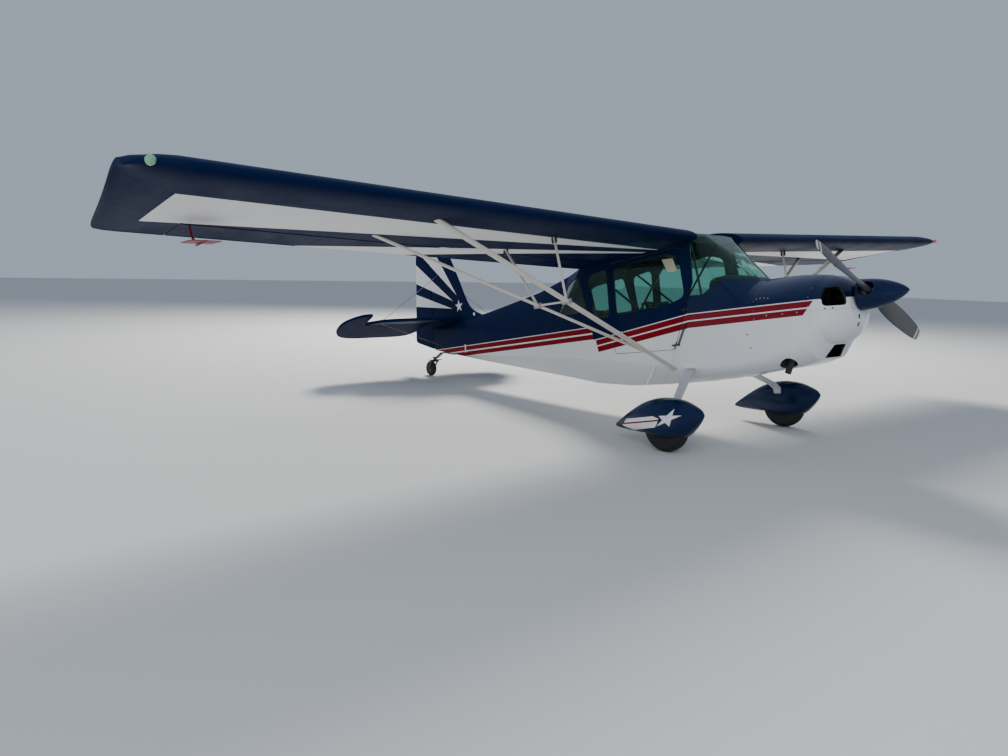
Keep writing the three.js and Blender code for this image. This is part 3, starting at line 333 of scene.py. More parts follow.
def pant_paint(name):
    g = Graph(name)
    x, y, z = g.xyz()
    bands = [(-0.430, 0.229), (-0.358, 0.290), (-0.005, 0.322), (0.055, 0.300), (0.020, 0.226),
             (-0.276, 0.190)]
    line = [(-0.470, 0.232), (0.050, 0.279), (0.050, 0.294), (-0.470, 0.247)]
    outer = y.abs() > WHEEL_Y
    rise = z - STAR_ON_PANT[1]
    u = x - rise * 0.775
    v = rise * 1.366 + STAR_ON_PANT[1]
    star = star_mask(u, v, STAR_ON_PANT, 0.1132, math.radians(90))
    halo = star_mask(u, v, STAR_ON_PANT, 0.147, math.radians(90), 0.45)
    white = ((polygon_mask(x, z, bands) & ~halo) | star) & outer
    red = polygon_mask(x, z, line) & ~halo & outer & (x < 0.05)
    return paint(g, white, red)


def plain_paint(name, colour, rough=0.25, coat=0.4, wear=0.1):
    g = Graph(name)
    dirt = g.noise(14.0, 6.0).ramp(0.5, 0.78)
    chips = g.noise(120.0, 4.0).ramp(0.66, 0.70)
    base = g.mix(dirt * wear, colour, rgb(0.16, 0.14, 0.12))
    base = g.mix(chips * wear * 0.5, base, rgb(0.32, 0.31, 0.30))
    roughness = rough + dirt * 0.2 + g.noise(300.0, 2.0) * 0.05
    height = g.noise(240.0, 2.0) * 0.2 + chips * -0.3
    return g.finish(base, roughness, height, 0.0003, Coat_Weight=coat, Coat_Roughness=0.1)


def metal(name, colour, rough=0.32, stain=0.3):
    g = Graph(name)
    grain = g.noise(420.0)
    patch = g.noise(18.0, 5.0).ramp(0.45, 0.75)
    base = g.mix(patch * stain, colour, rgb(0.10, 0.08, 0.065))
    base = g.mix(grain * 0.2, base, rgb(0.25, 0.25, 0.26))
    return g.finish(base, rough + patch * 0.25 + grain * 0.1, grain * 0.5, 0.0002, Metallic=1.0)


def rubber(name):
    """Tyre rubber: grooved tread, ribbed side, grey dust where it rolls."""
    g = Graph(name)
    x, _, z = g.xyz()
    dx = x - WHEEL.x
    dz = z - WHEEL.z
    reach = (dx * dx + dz * dz).math("SQRT")
    tread = reach > TYRE_R * 0.93
    dust = g.noise(26.0, 6.0).ramp(0.35, 0.75)
    base = g.mix(dust * 0.4, rgb(0.012, 0.012, 0.013), rgb(0.045, 0.041, 0.036))
    base = g.mix(tread * 0.3, base, rgb(0.035, 0.033, 0.031))
    height = reach.wave(0.009).ramp(0.0, 0.003) * 0.5 + g.noise(500.0, 3.0) * 0.4
    return g.finish(base, 0.78 + dust * 0.15, height, 0.0006)


def leather(name, colour):
    g = Graph(name)
    crack = g.cells(420.0).ramp(0.0, 0.5)
    tone = g.noise(9.0, 4.0)
    base = g.mix(tone * 0.5, colour, rgb(0.10, 0.006, 0.010))
    base = g.mix(crack * 0.12, rgb(0.05, 0.004, 0.006), base)
    return g.finish(base, 0.42 + tone * 0.2, crack + g.noise(60.0, 3.0) * 0.8, 0.0006, Sheen_Weight=0.15)


def dark_trim(name, colour=rgb(0.016, 0.016, 0.018), rough=0.6):
    g = Graph(name)
    grain = g.cells(700.0)
    haze = g.noise(11.0, 5.0).ramp(0.4, 0.8)
    base = g.mix(haze * 0.25, colour, rgb(0.09, 0.085, 0.08))
    return g.finish(base, rough + haze * 0.15, grain * 0.6 + g.noise(150.0, 2.0) * 0.3, 0.0003)


def carpet(name, colour):
    g = Graph(name)
    tuft = g.noise(700.0, 2.0)
    tone = g.noise(12.0, 4.0)
    base = g.mix(tuft, colour, rgb(0.10, 0.10, 0.105))
    base = g.mix(tone * 0.3, base, rgb(0.03, 0.03, 0.03))
    return g.finish(base, 0.95, tuft, 0.003, Sheen_Weight=0.3)


def glass(name, tint):
    g = Graph(name)
    smear = g.noise(5.0, 5.0).ramp(0.5, 0.85)
    base = g.mix(smear * 0.12, tint, rgb(0.60, 0.66, 0.64))
    return g.finish(base, 0.015 + smear * 0.05, g.noise(3.0, 1.0), 0.001, Transmission_Weight=1.0, IOR=1.3)


def blade_paint(name):
    """Grey blades with light, dark and light bands near the tips."""
    g = Graph(name)
    _, y, z = g.xyz()
    reach = (y * y + (z - THRUST_Z) * (z - THRUST_Z)).math("SQRT")
    light = between(reach, 0.868, 0.893) | between(reach, 0.918, 0.96)
    wear = g.noise(40.0, 5.0).ramp(0.55, 0.8)
    base = g.mix(light, rgb(0.075, 0.08, 0.087), rgb(0.62, 0.62, 0.60))
    base = g.mix(wear * 0.25, base, rgb(0.24, 0.24, 0.235))
    return g.finish(base, 0.34 + wear * 0.2, g.noise(300.0, 2.0), 0.0002, Metallic=0.3)


def lamp_glass(name, colour):
    g = Graph(name)
    ring = g.noise(90.0, 2.0)
    return g.finish(g.mix(ring * 0.3, colour, rgb(0.9, 0.9, 0.9)), 0.08, ring, 0.0004, Coat_Weight=1.0)


MATS = {
    "skin": fuselage_paint("fuselage_paint"),
    "fabric": fuselage_paint("fuselage_fabric", fabric=True),
    "fin": fin_paint("fin_fabric"),
    "tailplane": tailplane_paint("tailplane_fabric"),
    "wing": wing_paint("wing_fabric"),
    "pant": pant_paint("pant_paint"),
    "navy": paint(Graph("navy_plain"), 0.0, 0.0),
    "red": plain_paint("red_plain", RED, 0.5, 0.0),
    "strut": plain_paint("strut_white", rgb(0.62, 0.58, 0.51), 0.35, 0.2, 0.15),
    "leg": plain_paint("leg_grey", rgb(0.50, 0.51, 0.53), 0.35, 0.3, 0.2),
    "white": plain_paint("white_plain", WHITE),
    "blade": blade_paint("blade_paint"),
    "trim": dark_trim("black_trim"),
    "tube": dark_trim("black_tube", rgb(0.010, 0.010, 0.011), 0.4),
    "steel": metal("steel", rgb(0.52, 0.52, 0.53)),
    "dark": metal("dark_steel", rgb(0.075, 0.078, 0.082), 0.42),
    "bright": metal("bright_fastener", rgb(0.72, 0.72, 0.73), 0.2, 0.1),
    "hub": metal("hub_metal", rgb(0.62, 0.62, 0.63), 0.3),
    # Engine metal: its own dark grey, made darker still as painted shade for the block inside the cowl.
    "engine": metal("engine_metal", rgb(0.10, 0.10, 0.105), 0.6, 0.6),
    "exhaust": metal("exhaust_metal", rgb(0.075, 0.060, 0.050), 0.55, 0.7),
    "tyre": rubber("tyre_rubber"),
    "leather": leather("red_leather", rgb(0.17, 0.012, 0.018)),
    "lining": carpet("cabin_lining", rgb(0.045, 0.045, 0.05)),
    "glass": glass("green_glass", rgb(0.42, 0.74, 0.64)),
    "placard": plain_paint("bare_placard", rgb(0.50, 0.47, 0.34), 0.5, 0.0, 0.3),
    "lamp_green": lamp_glass("lamp_green", rgb(0.02, 0.35, 0.12)),
    "lamp_red": lamp_glass("lamp_red", rgb(0.45, 0.02, 0.02)),
    "lamp_clear": lamp_glass("lamp_clear", rgb(0.75, 0.76, 0.78)),
}


# shapes
def linked(piece):
    bpy.context.scene.collection.objects.link(piece)
    return piece


def raw(name, verts, faces, key, level=True):
    """A mesh object; its points are given in the level airframe unless level is false."""
    mesh = bpy.data.meshes.new(name)
    mesh.from_pydata([tuple(v) for v in verts], [], faces)
    if level:
        mesh.transform(TO_ROW)
    bm = bmesh.new()
    bm.from_mesh(mesh)
    bmesh.ops.remove_doubles(bm, verts=bm.verts, dist=1e-6)
    bmesh.ops.recalc_face_normals(bm, faces=bm.faces)
    many = [f for f in bm.faces if len(f.verts) > 4]
    bmesh.ops.triangulate(bm, faces=many, ngon_method="EAR_CLIP")
    bm.to_mesh(mesh)
    bm.free()
    mesh.materials.append(MATS[key])
    return linked(bpy.data.objects.new(name, mesh))


def settle(piece):
    """Applies a piece's modifiers to its mesh."""
    view = bpy.context.evaluated_depsgraph_get()
    made = bpy.data.meshes.new_from_object(piece.evaluated_get(view))
    piece.modifiers.clear()
    old = piece.data
    piece.data = made
    bpy.data.meshes.remove(old)
    return piece


def modified(piece, kind, **settings):
    """Puts one modifier on a piece and applies it."""
    step = piece.modifiers.new(kind.lower(), kind)
    for key, value in settings.items():
        setattr(step, key, value)
    bpy.context.view_layer.update()
    return settle(piece)


def cut(piece, tool, operation="DIFFERENCE"):
    modified(piece, "BOOLEAN", operation=operation, object=tool, solver="EXACT", material_mode="TRANSFER")
    bpy.data.objects.remove(tool)
    return piece


def copy_of(piece, name):
    twin = piece.copy()
    twin.data = piece.data.copy()
    twin.name = name
    return linked(twin)


def painted(piece, key):
    """Gives a piece one material all over."""
    piece.data.materials.clear()
    piece.data.materials.append(MATS[key])
    for polygon in piece.data.polygons:
        polygon.material_index = 0
    return piece


def joined(name, pieces):
    """One object from several, with their materials kept."""
    bm = bmesh.new()
    keys = []
    for piece in pieces:
        start = len(bm.faces)
        bm.from_mesh(piece.data)
        bm.faces.ensure_lookup_table()
        for face in bm.faces[start:]:
            material = piece.data.materials[face.material_index]
            if material not in keys:
                keys.append(material)
            face.material_index = keys.index(material)
    mesh = bpy.data.meshes.new(name)
    bm.to_mesh(mesh)
    bm.free()
    for material in keys:
        mesh.materials.append(material)
    for piece in pieces:
        bpy.data.objects.remove(piece)
    return linked(bpy.data.objects.new(name, mesh))


def smooth(piece, angle, bevel=0.0):
    """Shades a piece smooth up to an angle, with its edges bevelled first where a width is given."""
    limit = math.radians(angle)
    if bevel:
        modified(piece, "BEVEL", width=bevel, segments=2, limit_method="ANGLE", angle_limit=limit)
    piece.data.shade_smooth()
    piece.data.set_sharp_from_angle(angle=limit)
    return modified(piece, "WEIGHTED_NORMAL", keep_sharp=True)


def place(piece, body, node=None):
    """Puts a piece on its body, and in the stead of a CAD node where one is named."""
    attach(piece, body)
    if node:
        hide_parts(node)
    return piece


def mirror(piece, name):
    twin = copy_of(piece, name)
    twin.data.transform(Matrix.Scale(-1, 4, (0, 1, 0)))
    twin.data.flip_normals()
    return twin


def both_sides(piece, node, body="airframe"):
    """Places a piece of the left side, and its mirror image on the right."""
    twin = mirror(piece, piece.name.replace("left", "right"))
    for word, item in (("left", piece), ("right", twin)):
        place(item, body.replace("left", word), node.replace("left", word))


def loft(name, rings, key):
    """A closed skin through rings of equal length."""
    count = len(rings[0])
    verts = [p for ring in rings for p in ring]
    faces = []
    for a in range(0, len(verts) - count, count):
        for i in range(count):
            j = (i + 1) % count
            faces.append((a + i, a + j, a + count + j, a + count + i))
    faces.append(tuple(range(count)))
    faces.append(tuple(reversed(range(len(verts) - count, len(verts)))))
    return raw(name, verts, faces, key)


def circle(count):
    """Cosines and sines around a circle."""
    return [(math.cos(t), math.sin(t)) for t in (2 * math.pi * k / count for k in range(count))]


def box(name, x0, x1, y0, y1, z0, z1, key="trim"):
    ring = [(y0, z0), (y1, z0), (y1, z1), (y0, z1)]
    return loft(name, [[(x, y, z) for y, z in ring] for x in (x0, x1)], key)


def tube(name, points, radius, key, sides=14):
    """A round bar along a path, without twist; the radius may be a list, one for each point."""
    points = [Vector(p) for p in points]
    radii = radius if isinstance(radius, list) else [radius] * len(points)
    rings = []
    guide = None
    for i, point in enumerate(points):
        ahead = (points[min(i + 1, len(points) - 1)] - points[max(i - 1, 0)]).normalized()
        if guide is None:
            guide = ahead.orthogonal().normalized()
        guide = (guide - ahead * guide.dot(ahead)).normalized()
        side = ahead.cross(guide)
        rings.append([point + (guide * c + side * s) * radii[i] for c, s in circle(sides)])
    return loft(name, rings, key)


def curve(points, steps=6):
    """A smooth path through points of any number of columns."""
    p = np.array(points, float)
    padded = np.vstack([2 * p[0] - p[1], p, 2 * p[-1] - p[-2]])
    out = []
    for i in range(1, len(padded) - 2):
        a, b, c, d = padded[i - 1:i + 3]
        for k in range(steps):
            t = k / steps
            out.append(0.5 * (2 * b + (c - a) * t + (2 * a - 5 * b + 4 * c - d) * t * t
                              + (3 * b - a - 3 * c + d) * t ** 3))
    out.append(p[-1])
    return [tuple(v) for v in out]


def lathe(name, profile, key, origin, axis="y", sides=64):
    """Turns (radius, place) pairs about an axis through origin."""
    rings = []
    for r, a in profile:
        spots = [(r * c, a, r * s) if axis == "y" else (a, r * c, r * s) for c, s in circle(sides)]
        rings.append([Vector(origin) + Vector(spot) for spot in spots])
    return loft(name, rings, key)


def side_plate(name, outline, y0, y1, key="trim"):
    return loft(name, [[(x, y, z) for x, z in outline] for y in (y0, y1)], key)


def rounded(points, radius, steps=6):
    """An outline of two columns with its corners rounded."""
    out = []
    count = len(points)
    for i in range(count):
        corner = Vector(points[i][:2])
        before = Vector(points[i - 1][:2]) - corner
        after = Vector(points[(i + 1) % count][:2]) - corner
        r = points[i][2] if len(points[i]) > 2 else radius
        start = corner + before.normalized() * min(r, before.length * 0.45)
        end = corner + after.normalized() * min(r, after.length * 0.45)
        for k in range(steps + 1):
            t = k / steps
            out.append(tuple(start * (1 - t) ** 2 + corner * 2 * t * (1 - t) + end * t * t))
    return out


# fuselage
BODY = [
    # station, half width, top, bottom, top rounding width and height, bottom rounding width and
    # height, and how far the top and bottom roundings are drawn in to a straight facet
    (0.575, 0.392, 1.452, 0.628, 0.330, 0.215, 0.200, 0.130, 0.6, 0.0),
    (0.300, 0.383, 1.462, 0.585, 0.300, 0.170, 0.190, 0.130, 0.6, 0.0),
    (0.000, 0.372, 1.470, 0.560, 0.250, 0.120, 0.180, 0.140, 0.0, 0.2),
    (-0.300, 0.372, 1.960, 0.548, 0.060, 0.060, 0.180, 0.175, 0.0, 0.4),
    (-0.900, 0.372, 1.970, 0.540, 0.060, 0.060, 0.180, 0.255, 0.0, 0.85),
    (-1.460, 0.372, 1.868, 0.578, 0.110, 0.060, 0.180, 0.272, 0.0, 0.9),
    (-1.960, 0.300, 1.806, 0.655, 0.270, 0.550, 0.170, 0.231, 0.75, 0.9),
    (-2.480, 0.250, 1.676, 0.736, 0.222, 0.428, 0.150, 0.184, 0.8, 0.9),
    (-3.200, 0.190, 1.573, 0.856, 0.165, 0.320, 0.110, 0.109, 0.8, 0.9),
    (-3.500, 0.165, 1.530, 0.905, 0.130, 0.175, 0.090, 0.080, 0.8, 0.6),
    (-4.700, 0.048, 1.440, 1.112, 0.040, 0.040, 0.030, 0.030, 0.2, 0.4),
]


def row_between(a, b, x):
    t = (a[0] - x) / (a[0] - b[0])
    return (x,) + tuple(u + (v - u) * t for u, v in zip(a[1:], b[1:]))


CABIN = [
    BODY[0],
    row_between(BODY[0], BODY[1], 0.500),
    (0.260, 0.381, 1.712, 0.582, 0.290, 0.260, 0.190, 0.130, 0.3, 0.0),
    (0.030, 0.372, 1.935, 0.562, 0.180, 0.190, 0.180, 0.140, 0.0, 0.2),
    (-0.110, 0.372, 1.978, 0.556, 0.070, 0.070, 0.180, 0.155, 0.0, 0.3),
    (-0.560, 0.372, 1.996, 0.543, 0.050, 0.050, 0.180, 0.210, 0.0, 0.6),
    (-1.000, 0.372, 1.946, 0.541, 0.050, 0.050, 0.180, 0.260, 0.0, 0.87),
    BODY[5],
    BODY[6],
]


def section(s, inset=0.0, steps=12):
    x, half, top, low, tw, th, lw, lh, top_flat, low_flat = s
    w = half - inset
    corners = [
        (w - tw, top - inset - th, tw, th, 90, top_flat),
        (w - lw, low + inset + lh, lw, lh, 0, low_flat),
        (-(w - lw), low + inset + lh, lw, lh, -90, low_flat),
        (-(w - tw), top - inset - th, tw, th, 180, top_flat),
    ]
    ring = []
    for cy, cz, a, b, start, flat in corners:
        arc = []
        for i in range(steps + 1):
            t = math.radians(start - 90 * i / steps)
            arc.append(Vector((x, cy + a * math.cos(t), cz + b * math.sin(t))))
        ring += [p.lerp(arc[0].lerp(arc[-1], i / steps), flat) for i, p in enumerate(arc)]
    return ring


def cabin_skin(inset, key, name="skin"):
    return loft(name, [section(s, inset) for s in CABIN], key)


DOOR = [(-0.062, 1.790), (-0.096, 1.330), (-0.280, 0.880), (-1.040, 0.880), (-1.040, 1.815), (-0.180, 1.850)]
DOOR_WINDOW = [
    (-0.130, 1.380), (-0.170, 1.755), (-0.330, 1.805), (-0.985, 1.752), (-0.985, 1.275), (-0.300, 1.325),
]
REAR_WINDOW = [(-1.085, 1.262), (-1.085, 1.762), (-1.335, 1.728), (-1.345, 1.640), (-1.290, 1.262)]
QUARTER = [(-1.385, 1.350), (-1.490, 1.735), (-1.820, 1.665), (-1.925, 1.545), (-1.930, 1.345)]
WINDSHIELD = [
    (0.500, 1.485), (1.2, 1.485), (1.2, 2.1), (-0.032, 2.1), (-0.032, 1.5), (-0.084, 1.380), (0.070, 1.372),
    (0.250, 1.470),
]
SEAM = [(-0.02, 2.2), (-0.02, 1.42), (-0.09, 1.35), (-0.336, 0.74), (-0.35, 0.4), (2.0, 0.4), (2.0, 2.2)]
WINDOWS = [("rear", REAR_WINDOW, 0.060), ("quarter", QUARTER, 0.050)]
DOOR_CORNER = 0.060
BEYOND = 0.48
SEAM_GAP = 0.0008
EXHAUST_Y = -0.298


def window_tool(outline, radius, side):
    ys = (0.15, BEYOND) if side > 0 else (-BEYOND, -0.15)
    return side_plate("tool", rounded(outline, radius), *ys)


def windshield_tool():
    return side_plate("tool", WINDSHIELD, -BEYOND, BEYOND)


def skylight_tool():
    return box("tool", -1.0, -0.33, -0.25, 0.25, 1.8, 2.1)


def door_tool(outline, radius):
    return side_plate("tool", rounded(outline, radius), -BEYOND, -0.30)


def hollow_cabin():
    inner = cabin_skin(WALL, "lining", "inner")
    cut(inner, box("trim_ends", -1.948, FIREWALL_X - 0.008, -0.5, 0.5, 0.5, 2.1, "lining"), "INTERSECT")
    return cut(cabin_skin(0.0, "fabric"), inner)


shell = hollow_cabin()
cut(shell, windshield_tool())
cut(shell, skylight_tool())
for word, outline, radius in WINDOWS:
    for side in (-1, 1):
        cut(shell, window_tool(outline, radius, side))
cut(shell, window_tool(DOOR_WINDOW, DOOR_CORNER, 1))
door_body = []
for x, z in DOOR:
    door_body.append((x - math.copysign(0.005, x + 0.56), z - math.copysign(0.005, z - 1.29)))
door = hollow_cabin()
cut(door, door_tool(door_body, 0.042), "INTERSECT")
cut(door, window_tool(DOOR_WINDOW, DOOR_CORNER, -1))
cut(shell, door_tool(DOOR, 0.045))
boot = copy_of(shell, "boot_skin")
for index, material in enumerate(boot.data.materials):
    if material == MATS["fabric"]:
        boot.data.materials[index] = MATS["skin"]
cut(boot, side_plate("tool", [(x + SEAM_GAP, z) for x, z in SEAM], -0.6, 0.6), "INTERSECT")
cut(shell, side_plate("tool", [(x - SEAM_GAP, z) for x, z in SEAM], -0.6, 0.6))
shell.name = "cabin_skin"
door.name = "door_skin"
place(smooth(shell, 24), "airframe", "cabin_shell")
place(smooth(boot, 30), "airframe", "boot_cowl")
place(smooth(door, 30), "door", "door")

tail = loft("tail_skin", [section((-1.9603,) + BODY[6][1:])] + [section(s) for s in BODY[7:]], "fabric")
place(smooth(tail, 24), "airframe", "tail_cone")

panes = [
    # name, tool, body, node
    ("windshield_pane", windshield_tool(), "airframe", "windshield"),
    ("skylight_pane", skylight_tool(), "airframe", "skylight"),
    ("pane_left_front", window_tool(DOOR_WINDOW, DOOR_CORNER, 1), "airframe", "window_left_front"),
    ("pane_door", window_tool(DOOR_WINDOW, DOOR_CORNER, -1), "door", "door_window"),
]
for side, word in ((1, "left"), (-1, "right")):
    for label, outline, radius in WINDOWS:
        tool = window_tool(outline, radius, side)
        panes.append((f"pane_{label}_{word}", tool, "airframe", f"window_{label}_{word}"))
sheet = cabin_skin(0.003, "glass")
cut(sheet, cabin_skin(0.006, "glass", "inner"))
for name, tool, body, node in panes:
    pane = copy_of(sheet, name)
    cut(pane, tool, "INTERSECT")
    place(smooth(painted(pane, "glass"), 40), body, node)
bpy.data.objects.remove(sheet)


# wings
WING_STEPS = 30
WING_EDGE = 0.0018
WING_TE = LE_X - CHORD
WING_STATIONS = [
    # span, leading edge, trailing edge, share of full thickness
    (IN_CABIN + 0.0003, LE_X, WING_TE, 1.0), (4.94, LE_X, WING_TE, 1.0),
    (5.05, LE_X - 0.003, WING_TE + 0.018, 0.86), (5.12, LE_X - 0.020, WING_TE + 0.105, 0.68),
    (5.175, LE_X - 0.062, WING_TE + 0.560, 0.45), (SEMI_SPAN, LE_X - 0.170, WING_TE + 0.960, 0.2),
]


def half_thickness(u):
    """Half the thickness of a twelve percent section, where the chord runs from 0 to 1."""
    return 0.6 * (0.2969 * math.sqrt(u) - 0.126 * u - 0.3516 * u * u + 0.2843 * u ** 3 - 0.1036 * u ** 4)


def camber(u):
    """Its mean line, which rises to 0.04 of the chord at 0.4."""
    return 0.25 * (0.8 * u - u * u) if u < 0.4 else (0.04 / 0.36) * (0.2 + 0.8 * u - u * u)


def wing_ring(y, le, te, thick):
    """A wing section from the trailing edge over the top and back below."""
    half = [0.5 * (1 + math.cos(math.pi * i / WING_STEPS)) for i in range(WING_STEPS + 1)]
    ring = [(u, camber(u) + thick * half_thickness(u)) for u in half]
    ring[0] = (ring[0][0], ring[0][1] + WING_EDGE)
    ring += [(u, camber(u) - thick * half_thickness(u)) for u in half[-2::-1]]
    ring[-1] = (ring[-1][0], ring[-1][1] - WING_EDGE)
    out = []
    for u, v in ring:
        back = u * (le - te)
        z = LE_Z + DIHEDRAL * y - back * math.sin(INCIDENCE) + v * CHORD
        out.append((le - back * math.cos(INCIDENCE), y, z))
    return out


HINGE_X = LE_X - CHORD * HINGE_SHARE * math.cos(INCIDENCE)
NOSE_R = half_thickness(HINGE_SHARE) * CHORD - 0.004
CLEAR = 0.006
SLOT_TOP = 0.025
SURFACES = [("flap", 0.430, 2.435), ("aileron", 2.450, 4.620)]


def hinge_z(y):
    return LE_Z + DIHEDRAL * y - CHORD * HINGE_SHARE * math.sin(INCIDENCE) + camber(HINGE_SHARE) * CHORD


def wing_under(x, y):
    u = (LE_X - x) / CHORD
    return LE_Z + DIHEDRAL * y - u * CHORD * math.sin(INCIDENCE) + (camber(u) - half_thickness(u)) * CHORD


def wing_skin(name):
    stations = WING_STATIONS[:2] + curve(WING_STATIONS[1:], 4)[1:]
    return loft(name, [wing_ring(*s) for s in stations], "wing")


def surface_tool(y0, y1, r, slot=0.0):
    """The space aft of the hinge line, with a round nose and a slot below."""
    outline = [(0.0, -0.3)]
    start = -math.pi / 2
    if slot:
        outline = [(slot, -0.3), (slot, -SLOT_TOP)]
        start = -math.asin(SLOT_TOP / r)
    for k in range(25):
        t = start + (math.pi / 2 - start) * k / 24
        outline.append((r * math.cos(t), r * math.sin(t)))
    outline += [(0.0, 0.3), (-1.0, 0.3), (-1.0, -0.3)]
    return loft("tool", [[(HINGE_X + x, y, hinge_z(y) + z) for x, z in outline] for y in (y0, y1)], "wing")


wing = wing_skin("wing_skin_left")
cut(wing, surface_tool(SURFACES[0][1] - CLEAR, SURFACES[1][2] + CLEAR, NOSE_R + CLEAR, 0.030))
both_sides(smooth(wing, 30), "wing_left")
for word, y0, y1 in SURFACES:
    piece = wing_skin(f"{word}_skin_left")
    cut(piece, surface_tool(y0, y1, NOSE_R), "INTERSECT")
    both_sides(smooth(piece, 30), f"{word}_left", f"{word}_left")


# struts
def faired(name, start, end, width, depth):
    """A streamlined bar, blunt in front and fine behind."""
    a, b = Vector(start), Vector(end)
    ahead = (b - a).normalized()
    side = (Vector((1, 0, 0)) - ahead * ahead.x).normalized()
    up = ahead.cross(side)
    ring = [(width / 2 * c, depth / 2 * (s * (0.72 + 0.28 * c))) for c, s in circle(28)]
    return loft(name, [[centre + side * u + up * v for u, v in ring] for centre in (a, b)], "strut")


def along(a, b, y):
    t = (y - a[1]) / (b[1] - a[1])
    return tuple(p + (q - p) * t for p, q in zip(a, b))


FRONT_STRUT = ((-0.319, IN_CABIN - 0.042, 0.687), (-0.262, 3.090, 1.965))
REAR_STRUT = (along(*FRONT_STRUT, 0.700), (-0.915, 3.240, 1.960))
JURY_Y = 1.780


def strut_group():
    front = along(*FRONT_STRUT, JURY_Y)
    rear = along(*REAR_STRUT, JURY_Y + 0.06)
    heads = [(x, y, wing_under(x, y)) for x, y in ((-0.343, JURY_Y + 0.04), (-0.950, JURY_Y + 0.06))]
    parts = [
        faired("front", *FRONT_STRUT, 0.080, 0.034),
        faired("rear", *REAR_STRUT, 0.056, 0.026),
        tube("jury_front", [front, heads[0]], 0.011, "strut"),
        tube("jury_rear", [rear, heads[1]], 0.011, "strut"),
        tube("jury_link", [front, rear], 0.009, "strut"),
    ]
    for x, y, z in heads:
        parts.append(box("lug", x - 0.03, x + 0.03, y - 0.004, y + 0.004, z - 0.05, z))
    for (x, y, z), size in ((front, 0.048), (rear, 0.036)):
        parts.append(box("clamp", x - size, x + size, y - 0.014, y + 0.014, z - 0.022, z + 0.022, "steel"))
    return smooth(joined("strut_group_left", parts), 35)


both_sides(strut_group(), "wing_strut_left")

SPADE_Y = 4.55
SPADE = [(-0.020, -0.034), (-0.006, -0.105), (0.060, -0.165), (0.177, -0.190)]


def spade_group():
    base = hinge_z(SPADE_Y)
    path = curve([(HINGE_X + x, SPADE_Y, base + z) for x, z in SPADE])
    x, y, z = path[-1]
    tilt = math.tan(math.radians(4))
    outline = rounded([(-0.102, -0.105), (0.102, -0.105), (0.102, 0.105), (-0.102, 0.105)], 0.02)
    rings = [[(x + u, y + v, z - u * tilt + rise) for u, v in outline] for rise in (-0.0025, 0.0025)]
    parts = [tube("arm", path, 0.0085, "red"), loft("plate", rings, "red")]
    brace = [(HINGE_X - 0.012, y, base - 0.038), (HINGE_X - 0.20, y, base - 0.050)]
    parts.append(tube("brace", brace, 0.004, "trim", 8))
    parts.append(box("rib", x - 0.1, x + 0.1, y - 0.006, y + 0.006, z - 0.012, z - 0.003, "red"))
    return smooth(joined("spade_group_left", parts), 35)


both_sides(spade_group(), "spade_left", "aileron_left")


# tail
RIM_SHARE = 0.15
RIM_STEPS = 4
RIM_FLAT = 0.0005


def rim_plate(name, outline, thick, key, to_point):
    """A plate whose rim is rounded; to_point turns (u, v, side) into a place."""
    points = [Vector(p) for p in outline]
    count = len(points)
    area = sum(a.x * b.y - b.x * a.y for a, b in zip(points, points[1:] + points[:1]))
    sign = 1 if area > 0 else -1
    normals = []
    for i in range(count):
        before = points[i] - points[i - 1]
        after = points[(i + 1) % count] - points[i]
        bend = (before.normalized() + after.normalized()).normalized()
        normals.append(Vector((-bend.y, bend.x)) * sign)
    reach = thick * RIM_SHARE
    turns = [math.pi / 2 * k / RIM_STEPS for k in range(-RIM_STEPS, RIM_STEPS + 1)]
    levels = [(reach * (1 - math.cos(t)), thick / 2 * math.sin(t)) for t in turns]
    levels = [(reach + RIM_FLAT, -thick / 2)] + levels + [(reach + RIM_FLAT, thick / 2)]
    rings = []
    for inset, side in levels:
        rings.append([to_point(p.x + n.x * inset, p.y + n.y * inset, side) for p, n in zip(points, normals)])
    return loft(name, rings, key)


def level_point(u, v, side):
    return (u, v, TAIL_Z + side)


def upright_point(u, v, side):
    return (u, side, v)


HORN_Y = 1.15
STAB_HALF = 1.5
stab_half = [
    (-4.060, 0.0), (-4.080, 0.5), (-4.210, HORN_Y - 0.130, 0.08), (-4.270, HORN_Y - 0.018, 0.03),
    (TAIL_HINGE_X + 0.024, HORN_Y - 0.018, 0.01), (TAIL_HINGE_X + 0.024, 0.0, 0.01),
]
stab_outline = stab_half + [(p[0], -p[1]) + p[2:] for p in stab_half[-2:0:-1]]
stab = rim_plate("stabilizer_skin", rounded(stab_outline, 0.1, 5), 0.042, "tailplane", level_point)
place(smooth(stab, 40), "airframe", "stabilizer")

H = TAIL_HINGE_X
elevator_half = [
    (H - 0.008, 0.06, 0.04), (H - 0.008, HORN_Y, 0.01), (H + 0.262, HORN_Y - 0.002, 0.02),
    (H + 0.250, HORN_Y + 0.12, 0.09), (H + 0.175, STAB_HALF - 0.11), (H + 0.06, STAB_HALF - 0.018),
    (H - 0.07, STAB_HALF), (H - 0.24, STAB_HALF - 0.03), (H - 0.36, STAB_HALF - 0.13),
    (H - 0.42, STAB_HALF - 0.33), (H - 0.42, 0.33), (H - 0.30, 0.175), (H - 0.12, 0.15),
]
TAB = [(H - 0.418, 0.42), (H - 0.418, 0.95), (H - 0.470, 0.95), (H - 0.470, 0.42)]


